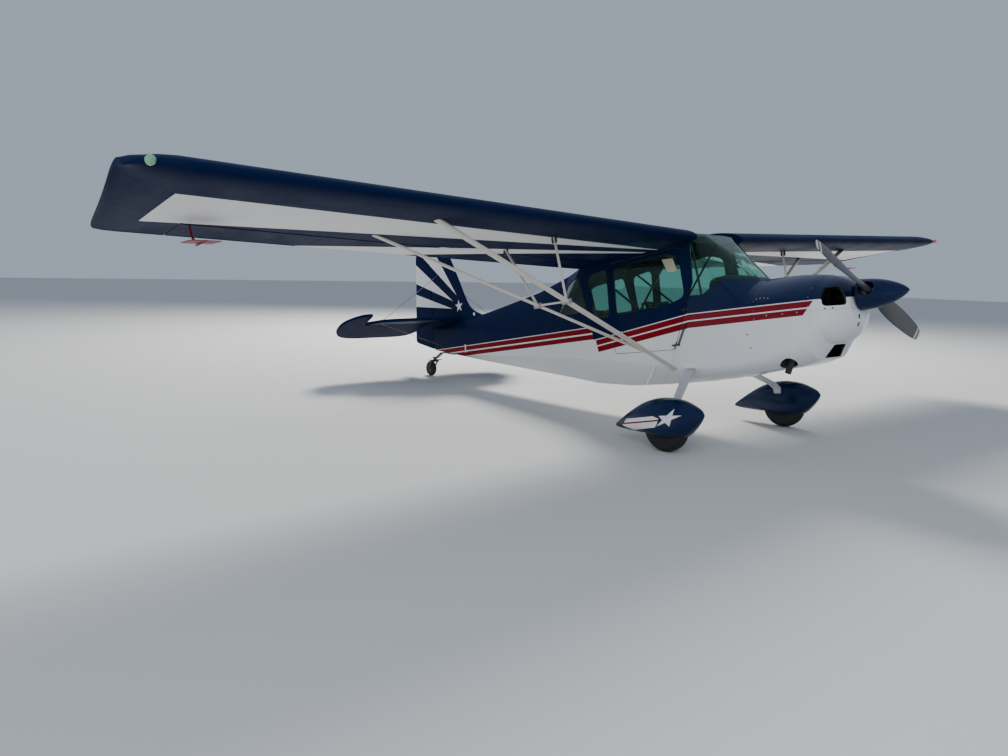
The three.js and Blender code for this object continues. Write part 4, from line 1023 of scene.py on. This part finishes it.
def elevator_group():
    level = rounded(elevator_half, 0.2, 5)
    half = rim_plate("half", level, 0.036, "tailplane", level_point)
    other = rim_plate("other", [(u, -v) for u, v in level], 0.036, "tailplane", level_point)
    tubes = tube("tube", [(H, -HORN_Y - 0.04, TAIL_Z), (H, HORN_Y + 0.04, TAIL_Z)], 0.016, "tailplane", 24)
    tab = rim_plate("tab", TAB, 0.006, "tailplane", level_point)
    made = joined("elevator_skin", [half, other, tubes, tab])
    pivot = TO_ROW @ Matrix.Translation((H, 0, TAIL_Z)) @ Matrix.Rotation(-DROOP, 4, "Y")
    made.data.transform(pivot @ Matrix.Translation((-H, 0, -TAIL_Z)) @ TO_ROW.inverted())
    return smooth(made, 40)


place(elevator_group(), "elevator", "elevator")

R = RUDDER_HINGE_X
FIN = [
    (-3.560, 1.490, 0.04), (-3.680, 1.545), (-3.790, 1.585), (-3.890, 1.655), (-3.965, 1.760),
    (-4.130, 2.110), (-4.262, 2.370), (-4.330, 2.470), (-4.430, 2.540), (-4.540, 2.562, 0.05),
    (R + 0.024, 2.562, 0.02), (R + 0.024, 1.300, 0.02), (-4.200, 1.380, 0.04),
]
RUDDER = [
    (R - 0.002, 1.157, 0.01), (R - 0.002, 2.568, 0.01), (R + 0.024, 2.572, 0.01), (R + 0.040, 2.620),
    (R - 0.020, 2.666), (R - 0.100, 2.684), (R - 0.190, 2.650), (R - 0.270, 2.560), (R - 0.320, 2.440),
    (-5.065, 2.300), (-5.205, 1.255, 0.06), (R - 0.030, 1.135, 0.02),
]
fin = rim_plate("fin_skin", rounded(FIN, 0.12, 5), 0.040, "fin", upright_point)
place(smooth(fin, 40), "airframe", "fin")
rudder = joined("rudder_skin", [
    rim_plate("blade", rounded(RUDDER, 0.08, 5), 0.034, "fin", upright_point),
    tube("post", [(R, 0, 1.143), (R, 0, 2.560)], 0.015, "fin", 24),
])
place(smooth(rudder, 40), "rudder", "rudder")


# cowl and nose
BOWL_FRONT = 1.345
COWL = [row + (0.5 * min(1, (BOWL_FRONT - row[0]) / 0.16), 0.0) for row in (
    (FIREWALL_X + 0.0005, 0.392, 1.452, 0.628, 0.330, 0.215, 0.200, 0.130),
    (0.880, 0.402, 1.448, 0.658, 0.330, 0.200, 0.240, 0.180),
    (1.072, 0.398, 1.429, 0.708, 0.320, 0.200, 0.258, 0.230),
    (1.162, 0.390, 1.407, 0.838, 0.310, 0.200, 0.290, 0.200),
    (1.202, 0.379, 1.397, 0.852, 0.300, 0.198, 0.300, 0.205),
    (1.260, 0.338, 1.372, 0.895, 0.280, 0.185, 0.285, 0.205),
    (1.310, 0.262, 1.338, 0.958, 0.230, 0.165, 0.235, 0.175),
    (BOWL_FRONT, 0.178, 1.302, 1.030, 0.160, 0.125, 0.160, 0.125),
)]
BOWL_X = 1.120
COWL_WALL = 0.010
COWL_GROW = 0.012


def cowl_skin(inset, key, grow=0.0):
    """The whole cowl; grow moves the ends of an inner skin clear of the outer one."""
    rows = curve(COWL[:3], 5)[:-1] + [COWL[2]] + curve(COWL[3:], 4)
    rows = [(r[0] - grow * min(max((r[0] - 1.0) / 0.072, 0), 1),) + r[1:] for r in rows]
    rows[0] = (rows[0][0] - grow,) + rows[0][1:]
    return loft("cowl", [section(r, inset, 14) for r in rows], key)


def cowl_part(name, x0, x1, z0, z1, tools):
    skin = cowl_skin(0.0, "skin")
    cut(skin, cowl_skin(COWL_WALL, "trim", COWL_GROW))
    cut(skin, box("tool", x0, x1, -0.6, 0.6, z0, z1, "skin"), "INTERSECT")
    for make in tools:
        cut(skin, make())
    skin.name = name
    return smooth(skin, 30)


def inlet(side):
    outline = [(side * 0.212, 1.148), (side * 0.376, 1.148), (side * 0.376, 1.292), (side * 0.212, 1.304)]
    return loft("inlet", [[(x, y, z) for y, z in rounded(outline, 0.03)] for x in (1.195, 1.5)], "trim")


def chin():
    outline = rounded([(-0.136, 0.722), (0.136, 0.722), (0.100, 0.829), (-0.100, 0.829)], 0.012)
    return loft("chin", [[(x, y, z) for y, z in outline] for x in (1.0, 1.6)], "trim")


def shaft_hole():
    return tube("shaft", [(1.2, 0, THRUST_Z), (1.5, 0, THRUST_Z)], 0.075, "trim", 40)


def exhaust_hole():
    return tube("hole", [(0.790, EXHAUST_Y, 0.5), (0.905, EXHAUST_Y, 0.9)], 0.070, "trim", 40)


def exit_hole():
    return box("exit", 0.56, 0.70, -0.19, 0.19, 0.56, 0.70)


nose_tools = [lambda: inlet(1), lambda: inlet(-1), chin, shaft_hole]
low_tools = [exhaust_hole, exit_hole, chin]
BEFORE, BEHIND = BOWL_X + SEAM_GAP, BOWL_X - SEAM_GAP
OVER, UNDER = SPLIT_Z + SEAM_GAP, SPLIT_Z - SEAM_GAP
for name, x0, x1, z0, z1, tools, slot, node in (
    ("nose_upper", BEFORE, 1.6, OVER, 1.6, nose_tools, "navy_paint", "nose_bowl_upper"),
    ("nose_lower", BEFORE, 1.6, 0.4, UNDER, nose_tools, "white_paint", "nose_bowl_lower"),
    ("cowl_top", 0.5, BEHIND, OVER, 1.6, [], "navy_paint", "cowl_upper"),
    ("cowl_low", 0.5, BEHIND, 0.4, UNDER, low_tools, "white_paint", "cowl_lower"),
):
    place(cowl_part(name, x0, x1, z0, z1, tools), "airframe", node)

# propeller and spinner
HUB_X = 1.445
SPIN_BACK = 1.365
SPIN_TIP = 1.742
SPIN_R = 0.130
SPIN_STEPS = 18
BLADE = [
    # radius, chord, thickness, twist
    (0.040, 0.070, 0.062, 62), (0.150, 0.092, 0.050, 52), (0.300, 0.132, 0.030, 38),
    (0.500, 0.148, 0.019, 27), (0.740, 0.138, 0.013, 20), (0.880, 0.112, 0.009, 17),
    (0.930, 0.080, 0.007, 16), (0.940, 0.050, 0.005, 16),
]


def blade_ring(r, chord, thick, twist):
    k = math.radians(-twist)
    ring = []
    for c, s in circle(28):
        u = chord / 2 * c
        v = thick / 2 * s
        x = HUB_X + v * math.cos(k) + u * math.sin(k)
        ring.append((x, r, THRUST_Z + v * math.sin(k) - u * math.cos(k)))
    return ring


def about_shaft(piece, angle):
    turn = Matrix.Translation((0, 0, THRUST_Z)) @ Matrix.Rotation(angle, 4, "X")
    piece.data.transform(TO_ROW @ turn @ Matrix.Translation((0, 0, -THRUST_Z)) @ TO_ROW.inverted())
    return piece


def propeller_group():
    first = loft("blade", [blade_ring(*row) for row in curve(BLADE, 5)], "blade")
    second = about_shaft(copy_of(first, "other"), math.pi)
    hub = tube("hub", [(SPIN_BACK - 0.010, 0, THRUST_Z), (HUB_X + 0.07, 0, THRUST_Z)], 0.062, "steel", 40)
    return smooth(about_shaft(joined("propeller_blades", [first, second, hub]), PROP_ANGLE), 40)


def spinner_profile(inset, shift=0.0):
    length = SPIN_TIP - SPIN_BACK - inset
    rows = []
    for i in range(SPIN_STEPS + 1):
        t = i / SPIN_STEPS
        radius = max((SPIN_R - inset) * max(1 - t ** 1.9, 0) ** 0.72, 0.0008)
        rows.append((radius, SPIN_BACK + t * length + shift))
    return rows


def spinner_group():
    centre = (0, 0, THRUST_Z)
    outer = lathe("outer", [(SPIN_R - 0.004, SPIN_BACK)] + spinner_profile(0.0), "navy", centre, "x")
    inside = [(0.1, SPIN_BACK + 0.004)] + spinner_profile(0.006, 0.004)
    cut(outer, lathe("inner", inside, "trim", centre, "x"))
    hole = tube("hole", [(HUB_X, -0.3, THRUST_Z), (HUB_X, 0.3, THRUST_Z)], 0.062, "trim", 40)
    cut(outer, about_shaft(hole, PROP_ANGLE))
    rim = SPIN_R + 0.002
    back, front = SPIN_BACK - 0.004, SPIN_BACK + 0.005
    plate = lathe("plate", [(0.066, back), (rim, back), (rim, front), (0.066, front)], "navy", centre, "x")
    return smooth(joined("spinner_shell", [outer, plate]), 35)


place(propeller_group(), "propeller", "propeller")
place(spinner_group(), "propeller", "spinner")


# gear
PANT = [
    # station, half width, top, bottom
    (0.432, 0.012, 0.334, 0.306), (0.400, 0.040, 0.368, 0.262), (0.340, 0.072, 0.402, 0.200),
    (0.270, 0.100, 0.434, 0.144), (0.200, 0.120, 0.455, 0.112), (0.110, 0.131, 0.470, 0.098),
    (0.030, 0.134, 0.474, 0.100), (-0.060, 0.132, 0.466, 0.120), (-0.190, 0.116, 0.432, 0.158),
    (-0.340, 0.080, 0.362, 0.178), (-0.470, 0.038, 0.290, 0.198), (-0.545, 0.010, 0.244, 0.218),
]
LEG_W = 0.024
LEG_IN = WHEEL_Y - 0.096 - LEG_W / 2


def pant_ring(row, inset=0.0):
    x, half, top, low = row
    w = max(half - inset, 0.003)
    middle = (top + low) / 2 - 0.010
    ring = []
    for c, s in circle(56):
        c = math.copysign(abs(c) ** 0.8, c)
        s = math.copysign(abs(s) ** 0.8, s)
        reach = top - inset - middle if s > 0 else middle - (low + inset)
        ring.append((x, WHEEL_Y + w * c, middle + reach * s))
    return ring


def leg_tool():
    """The part of the leg that passes through the pant, grown on all sides."""
    rows = [(0.030, WHEEL_Y - 0.192, 0.458, 0.082), (0.046, WHEEL_Y - 0.136, 0.408, 0.080),
            (WHEEL.x, LEG_IN, 0.350, 0.076), (WHEEL.x, LEG_IN, 0.262, 0.074)]
    rings = []
    for i, (x, y, z, width) in enumerate(rows):
        before, after = rows[max(i - 1, 0)], rows[min(i + 1, len(rows) - 1)]
        ahead = Vector((0, after[1] - before[1], after[2] - before[2])).normalized()
        out = Vector((0, -ahead.z, ahead.y)) * (LEG_W / 2 + CLEAR)
        half = Vector((width / 2 + CLEAR, 0, 0))
        middle = Vector((x, y, z))
        rings.append([middle + half + out, middle + half - out, middle - half - out, middle - half + out])
    return loft("leg", rings, "trim")


def pant_group():
    skin = loft("pant_skin_left", [pant_ring(s) for s in curve(PANT, 4)], "pant")
    inner = loft("inner", [pant_ring(s, 0.006) for s in curve(PANT[1:-1], 4)], "trim")
    cut(skin, inner)
    profile = [(0.002, -0.096), (0.165, -0.092), (0.205, -0.075), (0.2305, -0.040)]
    profile += [(r, -a) for r, a in reversed(profile)]
    cut(skin, lathe("bay", profile, "trim", WHEEL, "y", 80))
    floor_line = [(0.300, 0.0), (0.300, 0.112), (-0.215, 0.176), (-0.215, 0.0)]
    cut(skin, side_plate("tool", floor_line, WHEEL_Y - 0.2, WHEEL_Y + 0.2))
    cut(skin, leg_tool())
    skin.name = "pant_skin_left"
    return smooth(skin, 35)


both_sides(pant_group(), "wheel_pant_left")


def tyre_profile(radius, width, rim):
    """Half round section with three grooves in the tread."""
    h = width / 2
    rows = [(rim, -h * 0.62), (rim + 0.010, -h * 0.82)]
    for k in range(-8, 9):
        t = k / 8
        a = t * math.radians(80)
        r = radius - (radius - rim) * 0.62 * (1 - math.cos(a) ** 0.7)
        rows.append((min(r, radius), h * math.sin(a) / math.sin(math.radians(80))))
        if k in (-3, 0, 2):
            r, a = rows[-1]
            rows += [(r - 0.006, a + 0.001), (r - 0.006, a + 0.005), (r, a + 0.006)]
    rows += [(rim + 0.010, h * 0.82), (rim, h * 0.62)]
    return rows


for word, y in (("left", WHEEL_Y), ("right", -WHEEL_Y)):
    profile = tyre_profile(TYRE_R, 0.160, 0.082)
    tyre = lathe(f"tyre_{word}", profile, "tyre", (WHEEL.x, y, WHEEL.z), "y", 96)
    place(smooth(tyre, 30), f"wheel_{word}", f"main_tyre_{word}")

# carried-over nodes, with the CAD's shape and finer edges
CARRIED = [
    # node, with * for left and right, then material, body, slot and edge
    ("floor", "lining", "airframe", "black_trim", 0.002),
    ("instrument_panel", "trim", "airframe", "black_trim", 0.002),
    ("control_sticks", "tube", "airframe", "black_trim", 0.001),
    ("cabin_frame", "tube", "airframe", "black_tube", 0.0),
    ("tail_stay_*", "steel", "airframe", "steel", 0.0),
    ("gear_leg_*", "leg", "airframe", "grey_paint", 0.004),
    ("axle_*", "steel", "airframe", "steel", 0.001),
    ("main_hub_*", "hub", "wheel_*", "hub_metal", 0.002),
    ("tail_spring", "dark", "airframe", "steel", 0.001),
    ("tailwheel_fork", "dark", "tail_caster", "steel", 0.001),
    ("tailwheel_tyre", "tyre", "tail_wheel", "tyre", 0.004),
    ("tailwheel_hub", "dark", "tail_wheel", "hub_metal", 0.001),
    ("engine_block", "engine", "airframe", "engine_metal", 0.006),
    ("exhaust_pipe", "exhaust", "airframe", "steel", 0.0),
    ("boarding_step", "white", "airframe", "strut_paint", 0.001),
    ("nav_light_left", "lamp_red", "airframe", "glass", 0.0),
    ("nav_light_right", "lamp_green", "airframe", "glass", 0.0),
    ("tail_light", "lamp_clear", "rudder", "glass", 0.0),
]


def carried(node, key, body, edge):
    piece = copy_of(frame["nodes"][node], f"{node}_dressed")
    piece.parent = None
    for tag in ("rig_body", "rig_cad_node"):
        if tag in piece:
            del piece[tag]
    bm = bmesh.new()
    bm.from_mesh(piece.data)
    bmesh.ops.remove_doubles(bm, verts=bm.verts, dist=2e-5)
    bmesh.ops.dissolve_limit(bm, angle_limit=math.radians(1), verts=bm.verts, edges=bm.edges)
    bm.to_mesh(piece.data)
    bm.free()
    painted(piece, key)
    if node == "floor":
        cut(piece, cabin_skin(WALL + 0.004, key, "inside"), "INTERSECT")
    place(smooth(piece, 35, edge), body, node)


for node, key, body, slot, edge in CARRIED:
    for word in ("left", "right") if "*" in node else ("",):
        carried(node.replace("*", word), key, body.replace("*", word), edge)

# seats
SWELL = 0.024
PUFF_FRAMES = 20
CHANNEL_DEPTH = 0.007
CHANNEL = 0.098
CHANNEL_HALF = 0.011


def puffed(piece, smallest):
    """Fills a pad like a cushion: cloth under pressure, held near the shape it starts from."""
    modified(piece, "REMESH", mode="VOXEL", voxel_size=0.006)
    start = [v.co.copy() for v in piece.data.vertices]
    cloth = piece.modifiers.new("cloth", "CLOTH")
    cloth.settings.quality = 4
    cloth.settings.use_pressure = True
    cloth.settings.uniform_pressure_force = 4.0
    cloth.settings.effector_weights.gravity = 0.0
    cloth.point_cache.frame_start = 1
    cloth.point_cache.frame_end = PUFF_FRAMES
    for moment in range(1, PUFF_FRAMES + 1):
        bpy.context.scene.frame_set(moment)
    settle(piece)
    bpy.context.scene.frame_set(1)
    for vertex, rest in zip(piece.data.vertices, start):
        moved = vertex.co - rest
        if moved.length > SWELL:
            vertex.co = rest + moved * (SWELL / moved.length)
    modified(piece, "SUBSURF", levels=1)
    level = TO_ROW.inverted()
    for vertex in piece.data.vertices:
        spot = level @ vertex.co
        spot.z = max(spot.z, smallest)
        spot.y = max(min(spot.y, piece["half"]), -piece["half"])
        vertex.co = TO_ROW @ spot
    return piece


def channelled(piece, ahead):
    """Sewn channels pressed into the side that faces ahead."""
    level = TO_ROW.inverted()
    normals = [(level.to_3x3() @ v.normal) for v in piece.data.vertices]
    spots = [level @ v.co for v in piece.data.vertices]
    for vertex, normal, spot in zip(piece.data.vertices, normals, spots):
        lean = normal.dot(ahead)
        off = abs((spot.y / CHANNEL + 0.5) % 1 - 0.5) * CHANNEL
        if lean > 0.3 and off < CHANNEL_HALF and abs(spot.y) < piece["half"] - 0.04:
            depth = CHANNEL_DEPTH * (1 - (off / CHANNEL_HALF) ** 2) * min(1, (lean - 0.3) / 0.4)
            vertex.co = TO_ROW @ (spot - normal * depth)
    return piece


def seat(word, x, half):
    cushion = [(x + 0.205, 0.866), (x + 0.205, 0.910), (x - 0.165, 0.912), (x - 0.190, 0.866)]
    back = [(x - 0.150, 0.945), (x - 0.303, 1.400), (x - 0.358, 1.400), (x - 0.222, 0.945)]
    rows = (("cushion", rounded(cushion, 0.018), 0.8535, Vector((0, 0, 1))),
            ("back", rounded(back, 0.022), 0.92, Vector((1, 0, 0.3)).normalized()))
    for label, outline, low, ahead in rows:
        piece = side_plate(f"seat_{label}_{word}", outline, -half + 0.022, half - 0.022, "leather")
        modified(piece, "BEVEL", width=0.016, segments=3, limit_method="ANGLE", angle_limit=math.radians(50))
        piece["half"] = half
        channelled(puffed(piece, low), ahead)
        place(smooth(piece, 80), "airframe", f"seat_{word}")
    wide, narrow = half - 0.03, half - 0.07
    path = [(x - 0.232, -wide, 0.958), (x - 0.368, -wide, 1.340), (x - 0.378, -narrow, 1.372),
            (x - 0.378, narrow, 1.372), (x - 0.368, wide, 1.340), (x - 0.232, wide, 0.958)]
    hoop = tube(f"seat_hoop_{word}", curve(path, 5), 0.009, "tube")
    place(smooth(hoop, 40), "airframe")


seat("front", -0.430, 0.200)
seat("rear", -1.250, 0.210)

# small fittings on the skin
SKINS = [bpy.data.objects[n] for n in (
    "cowl_top", "cowl_low", "nose_upper", "nose_lower", "boot_skin", "cabin_skin", "tail_skin",
    "wing_skin_left", "wing_skin_right",
)]
STUD_SIDES = 16


def on_skin(start, ahead):
    """Where a ray from outside first meets the skin, and the outward direction there."""
    origin = TO_ROW @ Vector(start)
    heading = TO_ROW.to_3x3() @ Vector(ahead)
    best = None
    for skin in SKINS:
        met, spot, normal, _ = skin.ray_cast(origin, heading)
        if met and (best is None or (spot - origin).length < (best[0] - origin).length):
            best = (spot, normal)
    return best


def studs(name, key, rays, radius, height):
    """Round heads of screws or caps where the rays meet the skin."""
    verts, faces = [], []
    for start, ahead in rays:
        spot, normal = on_skin(start, ahead)
        across = normal.orthogonal().normalized()
        other = normal.cross(across)
        first = len(verts)
        for share, rise in ((1.0, -0.002), (1.0, height * 0.4), (0.8, height * 0.8), (0.4, height)):
            for c, s in circle(STUD_SIDES):
                verts.append(spot + (across * c + other * s) * radius * share + normal * rise)
        last = len(verts) - STUD_SIDES
        for low in range(first, last, STUD_SIDES):
            for k in range(STUD_SIDES):
                a, b = low + k, low + (k + 1) % STUD_SIDES
                faces.append((a, b, b + STUD_SIDES, a + STUD_SIDES))
        faces.append(tuple(first + k for k in range(STUD_SIDES)))
        faces.append(tuple(last + k for k in reversed(range(STUD_SIDES))))
    return place(smooth(raw(name, verts, faces, key, level=False), 40), "airframe")


def from_sides(spots):
    return [((x, side * 0.9, z), (0, -side, 0)) for x, z in spots for side in (-1, 1)]


dark_spots = [(1.225, 1.130), (1.270, 1.130), (0.520, 0.970), (0.545, 0.850), (0.575, 0.740)]
bright_spots = [(1.000, 1.120), (0.870, 1.120), (0.720, 1.120), (0.620, 1.270), (0.655, 1.275),
                (0.695, 1.272), (0.735, 1.266)]
seam_spots = [(0.596, 0.80 + 0.075 * k) for k in range(9)] + [(1.098, 0.86 + 0.075 * k) for k in range(7)]
bowl_rays = [((1.8, y, z), (-1, 0, 0)) for y, z in ((-0.030, 1.048), (-0.010, 0.985))]
tank_rays = [((-0.36, side * 1.25, 2.6), (0, 0, -1)) for side in (-1, 1)]
belly_rays = [((x, y, 0.2), (0, 0, 1)) for x in (-1.65, -0.75, 0.2) for y in (-0.12, 0.12)]
for row in (
    # name, material, rays, radius, height
    ("skin_fasteners_dark", "tube", from_sides(dark_spots), 0.007, 0.003),
    ("skin_fasteners_bright", "bright", from_sides(bright_spots), 0.006, 0.003),
    ("seam_screws", "bright", from_sides(seam_spots), 0.0035, 0.0015),
    ("bowl_lamp_rims", "tube", bowl_rays, 0.018, 0.008),
    ("bowl_lamps", "lamp_clear", bowl_rays, 0.011, 0.012),
    ("fuel_caps", "steel", tank_rays, 0.042, 0.012),
    ("belly_drains", "steel", belly_rays, 0.009, 0.006),
):
    studs(*row)


HINGE_SPOTS = [(-0.1286, 1.254), (-0.2630, 0.925)]
HINGE_LEAN = 0.4085
HINGE_Y = -0.381
LEAF_Y = (-0.3785, -0.3725)
hinge_parts, fixed_parts = [], []
for x, z in HINGE_SPOTS:
    for leaves, near, far in ((hinge_parts, -0.046, -0.010), (fixed_parts, 0.010, 0.046)):
        leaves.append(box("leaf", x + near, x + far, *LEAF_Y, z - 0.008, z + 0.008, "tube"))
    ends = [(x + rise * HINGE_LEAN, HINGE_Y, z + rise) for rise in (-0.034, 0.030)]
    hinge_parts.append(tube("barrel", ends, 0.0055, "tube", 12))
for shift in (-0.008, 0.008):
    ends = [(-0.132 + shift, -0.3795, 1.125), (-0.229 + shift, -0.3795, 0.933)]
    fixed_parts.append(tube("rod", ends, 0.004, "tube", 10))
handle = [(-0.985, -0.376, 1.105), (-0.975, -0.395, 1.105), (-0.900, -0.398, 1.100), (-0.880, -0.390, 1.098)]
handle_parts = [
    tube("handle", curve(handle, 5), 0.007, "bright", 12),
    lathe("rose", [(0.020, -0.378), (0.020, -0.372)], "bright", (-0.985, 0, 1.105), "y", 24),
]
place(smooth(joined("door_strap_trim", hinge_parts), 35), "door")
place(smooth(joined("hinge_leaf_trim", fixed_parts), 35), "airframe")
place(smooth(joined("door_handle", handle_parts), 35), "door")
card = side_plate("bare_card", [(-0.365, 1.758), (-0.235, 1.751), (-0.193, 1.626), (-0.304, 1.628)],
                  -0.3745, -0.3728, "placard")
place(smooth(card, 40), "door")

HUMP_LOW = 1.425
HUMP = [
    # station, half width, top
    (0.085, 0.280, 1.490), (0.105, 0.300, 1.532), (0.190, 0.300, 1.541), (0.300, 0.290, 1.518),
    (0.400, 0.250, 1.478), (0.440, 0.220, 1.455),
]
hump = []
for x, half, top in HUMP:
    ring = []
    for k in range(25):
        c, s = math.cos(math.pi * k / 24), math.sin(math.pi * k / 24)
        ring.append((x, half * math.copysign(abs(c) ** 0.55, c), HUMP_LOW + (top - HUMP_LOW) * s ** 0.6))
    hump.append(ring)
place(smooth(loft("glareshield_pad", hump, "trim"), 40), "airframe")


def ball(x, z, radius, middle, end):
    """A small ball on the spine, from its radius at three places."""
    profile = [(end, -radius), (middle, -middle), (radius, 0.0), (middle, middle), (end, radius)]
    return lathe("ball", profile, "white", (x, 0, z), "y", 24)


rod = [(-2.732, 0, 1.605), (-2.732, 0, 1.652), (-2.476, 0, 1.704)]
spine_parts = [
    ball(-2.788, 1.648, 0.018, 0.013, 0.004),
    tube("stalk", [(-2.788, 0, 1.590), (-2.788, 0, 1.641)], 0.008, "white", 12),
    ball(-3.783, 1.545, 0.030, 0.021, 0.006),
    tube("stalk", [(-3.783, 0, 1.490), (-3.783, 0, 1.530)], 0.012, "white", 12),
    tube("rod", rod, [0.007, 0.006, 0.004], "white", 12),
]
place(smooth(joined("spine_aerials", spine_parts), 35), "airframe")

# leg roots and the dark way of the exhaust
ROOT_CAP = [(-0.185, 0.700), (-0.055, 0.700), (-0.055, 0.716), (-0.185, 0.716)]
for side, word in ((1, "left"), (-1, "right")):
    cap = side_plate(f"leg_cap_{word}", rounded(ROOT_CAP, 0.006, 3), side * 0.345, side * 0.385, "white")
    place(smooth(cap, 35), "airframe")
tunnel = tube("exhaust_tunnel", [(0.816, EXHAUST_Y, 0.590), (0.873, EXHAUST_Y, 0.790)], 0.082, "tube", 40)
cut(tunnel, tube("bore", [(0.790, EXHAUST_Y, 0.5), (0.870, EXHAUST_Y, 0.780)], 0.074, "tube", 40))
cut(tunnel, cowl_skin(COWL_WALL + 0.001, "tube", COWL_GROW), "INTERSECT")
place(smooth(tunnel, 35), "airframe")

# camera, floor and light
PHOTO_WIDTH = 1008
FOCAL_PIXELS = 772.5
YAW = math.radians(139.37)
PITCH = math.radians(-8.07)
ROLL = math.radians(1.46)
camera_data = bpy.data.cameras.new("camera")
camera_data.sensor_width = 36.0
camera_data.lens = 36.0 * FOCAL_PIXELS / PHOTO_WIDTH
camera_data.clip_end = 200
camera = linked(bpy.data.objects.new("camera", camera_data))
bpy.context.scene.camera = camera
look = Vector((math.cos(YAW) * math.cos(PITCH), math.sin(YAW) * math.cos(PITCH), math.sin(PITCH)))
turn = look.to_track_quat("-Z", "Y").to_matrix().to_4x4() @ Matrix.Rotation(ROLL, 4, "Z")
camera.matrix_world = Matrix.Translation((CONTACT_X + 4.121, -6.411, 1.559)) @ turn


def floor_material():
    g = Graph("floor_material")
    tone = g.noise(0.8, 4.0)
    return g.finish(g.mix(tone * 0.06, rgb(0.62, 0.62, 0.61), rgb(0.5, 0.5, 0.5)), 0.9)


MATS["floor"] = floor_material()
corners = [(-60, -60, 0), (60, -60, 0), (60, 60, 0), (-60, 60, 0)]
raw("stage_floor", corners, [(0, 1, 2, 3)], "floor", level=False)

world = bpy.data.worlds.new("world")
bpy.context.scene.world = world
world.use_nodes = True
sky = world.node_tree.nodes["Background"].inputs
sky["Color"].default_value = rgb(0.70, 0.82, 1.0)
sky["Strength"].default_value = 0.50


def area(name, place_at, aim, size, power, colour):
    data = bpy.data.lights.new(name, "AREA")
    data.shape = "DISK"
    data.size = size
    data.energy = power
    data.color = colour
    lamp = linked(bpy.data.objects.new(name, data))
    lamp.visible_glossy = False
    facing = (Vector(aim) - Vector(place_at)).to_track_quat("-Z", "Y").to_matrix().to_4x4()
    lamp.matrix_world = Matrix.Translation(place_at) @ facing


area("key", (-10, 8, 11), (0, 0, 1), 4.5, 4600, (1.0, 0.96, 0.90))
area("fill", (9, -12, 8), (0, 0, 1), 9.0, 900, (0.93, 0.96, 1.0))
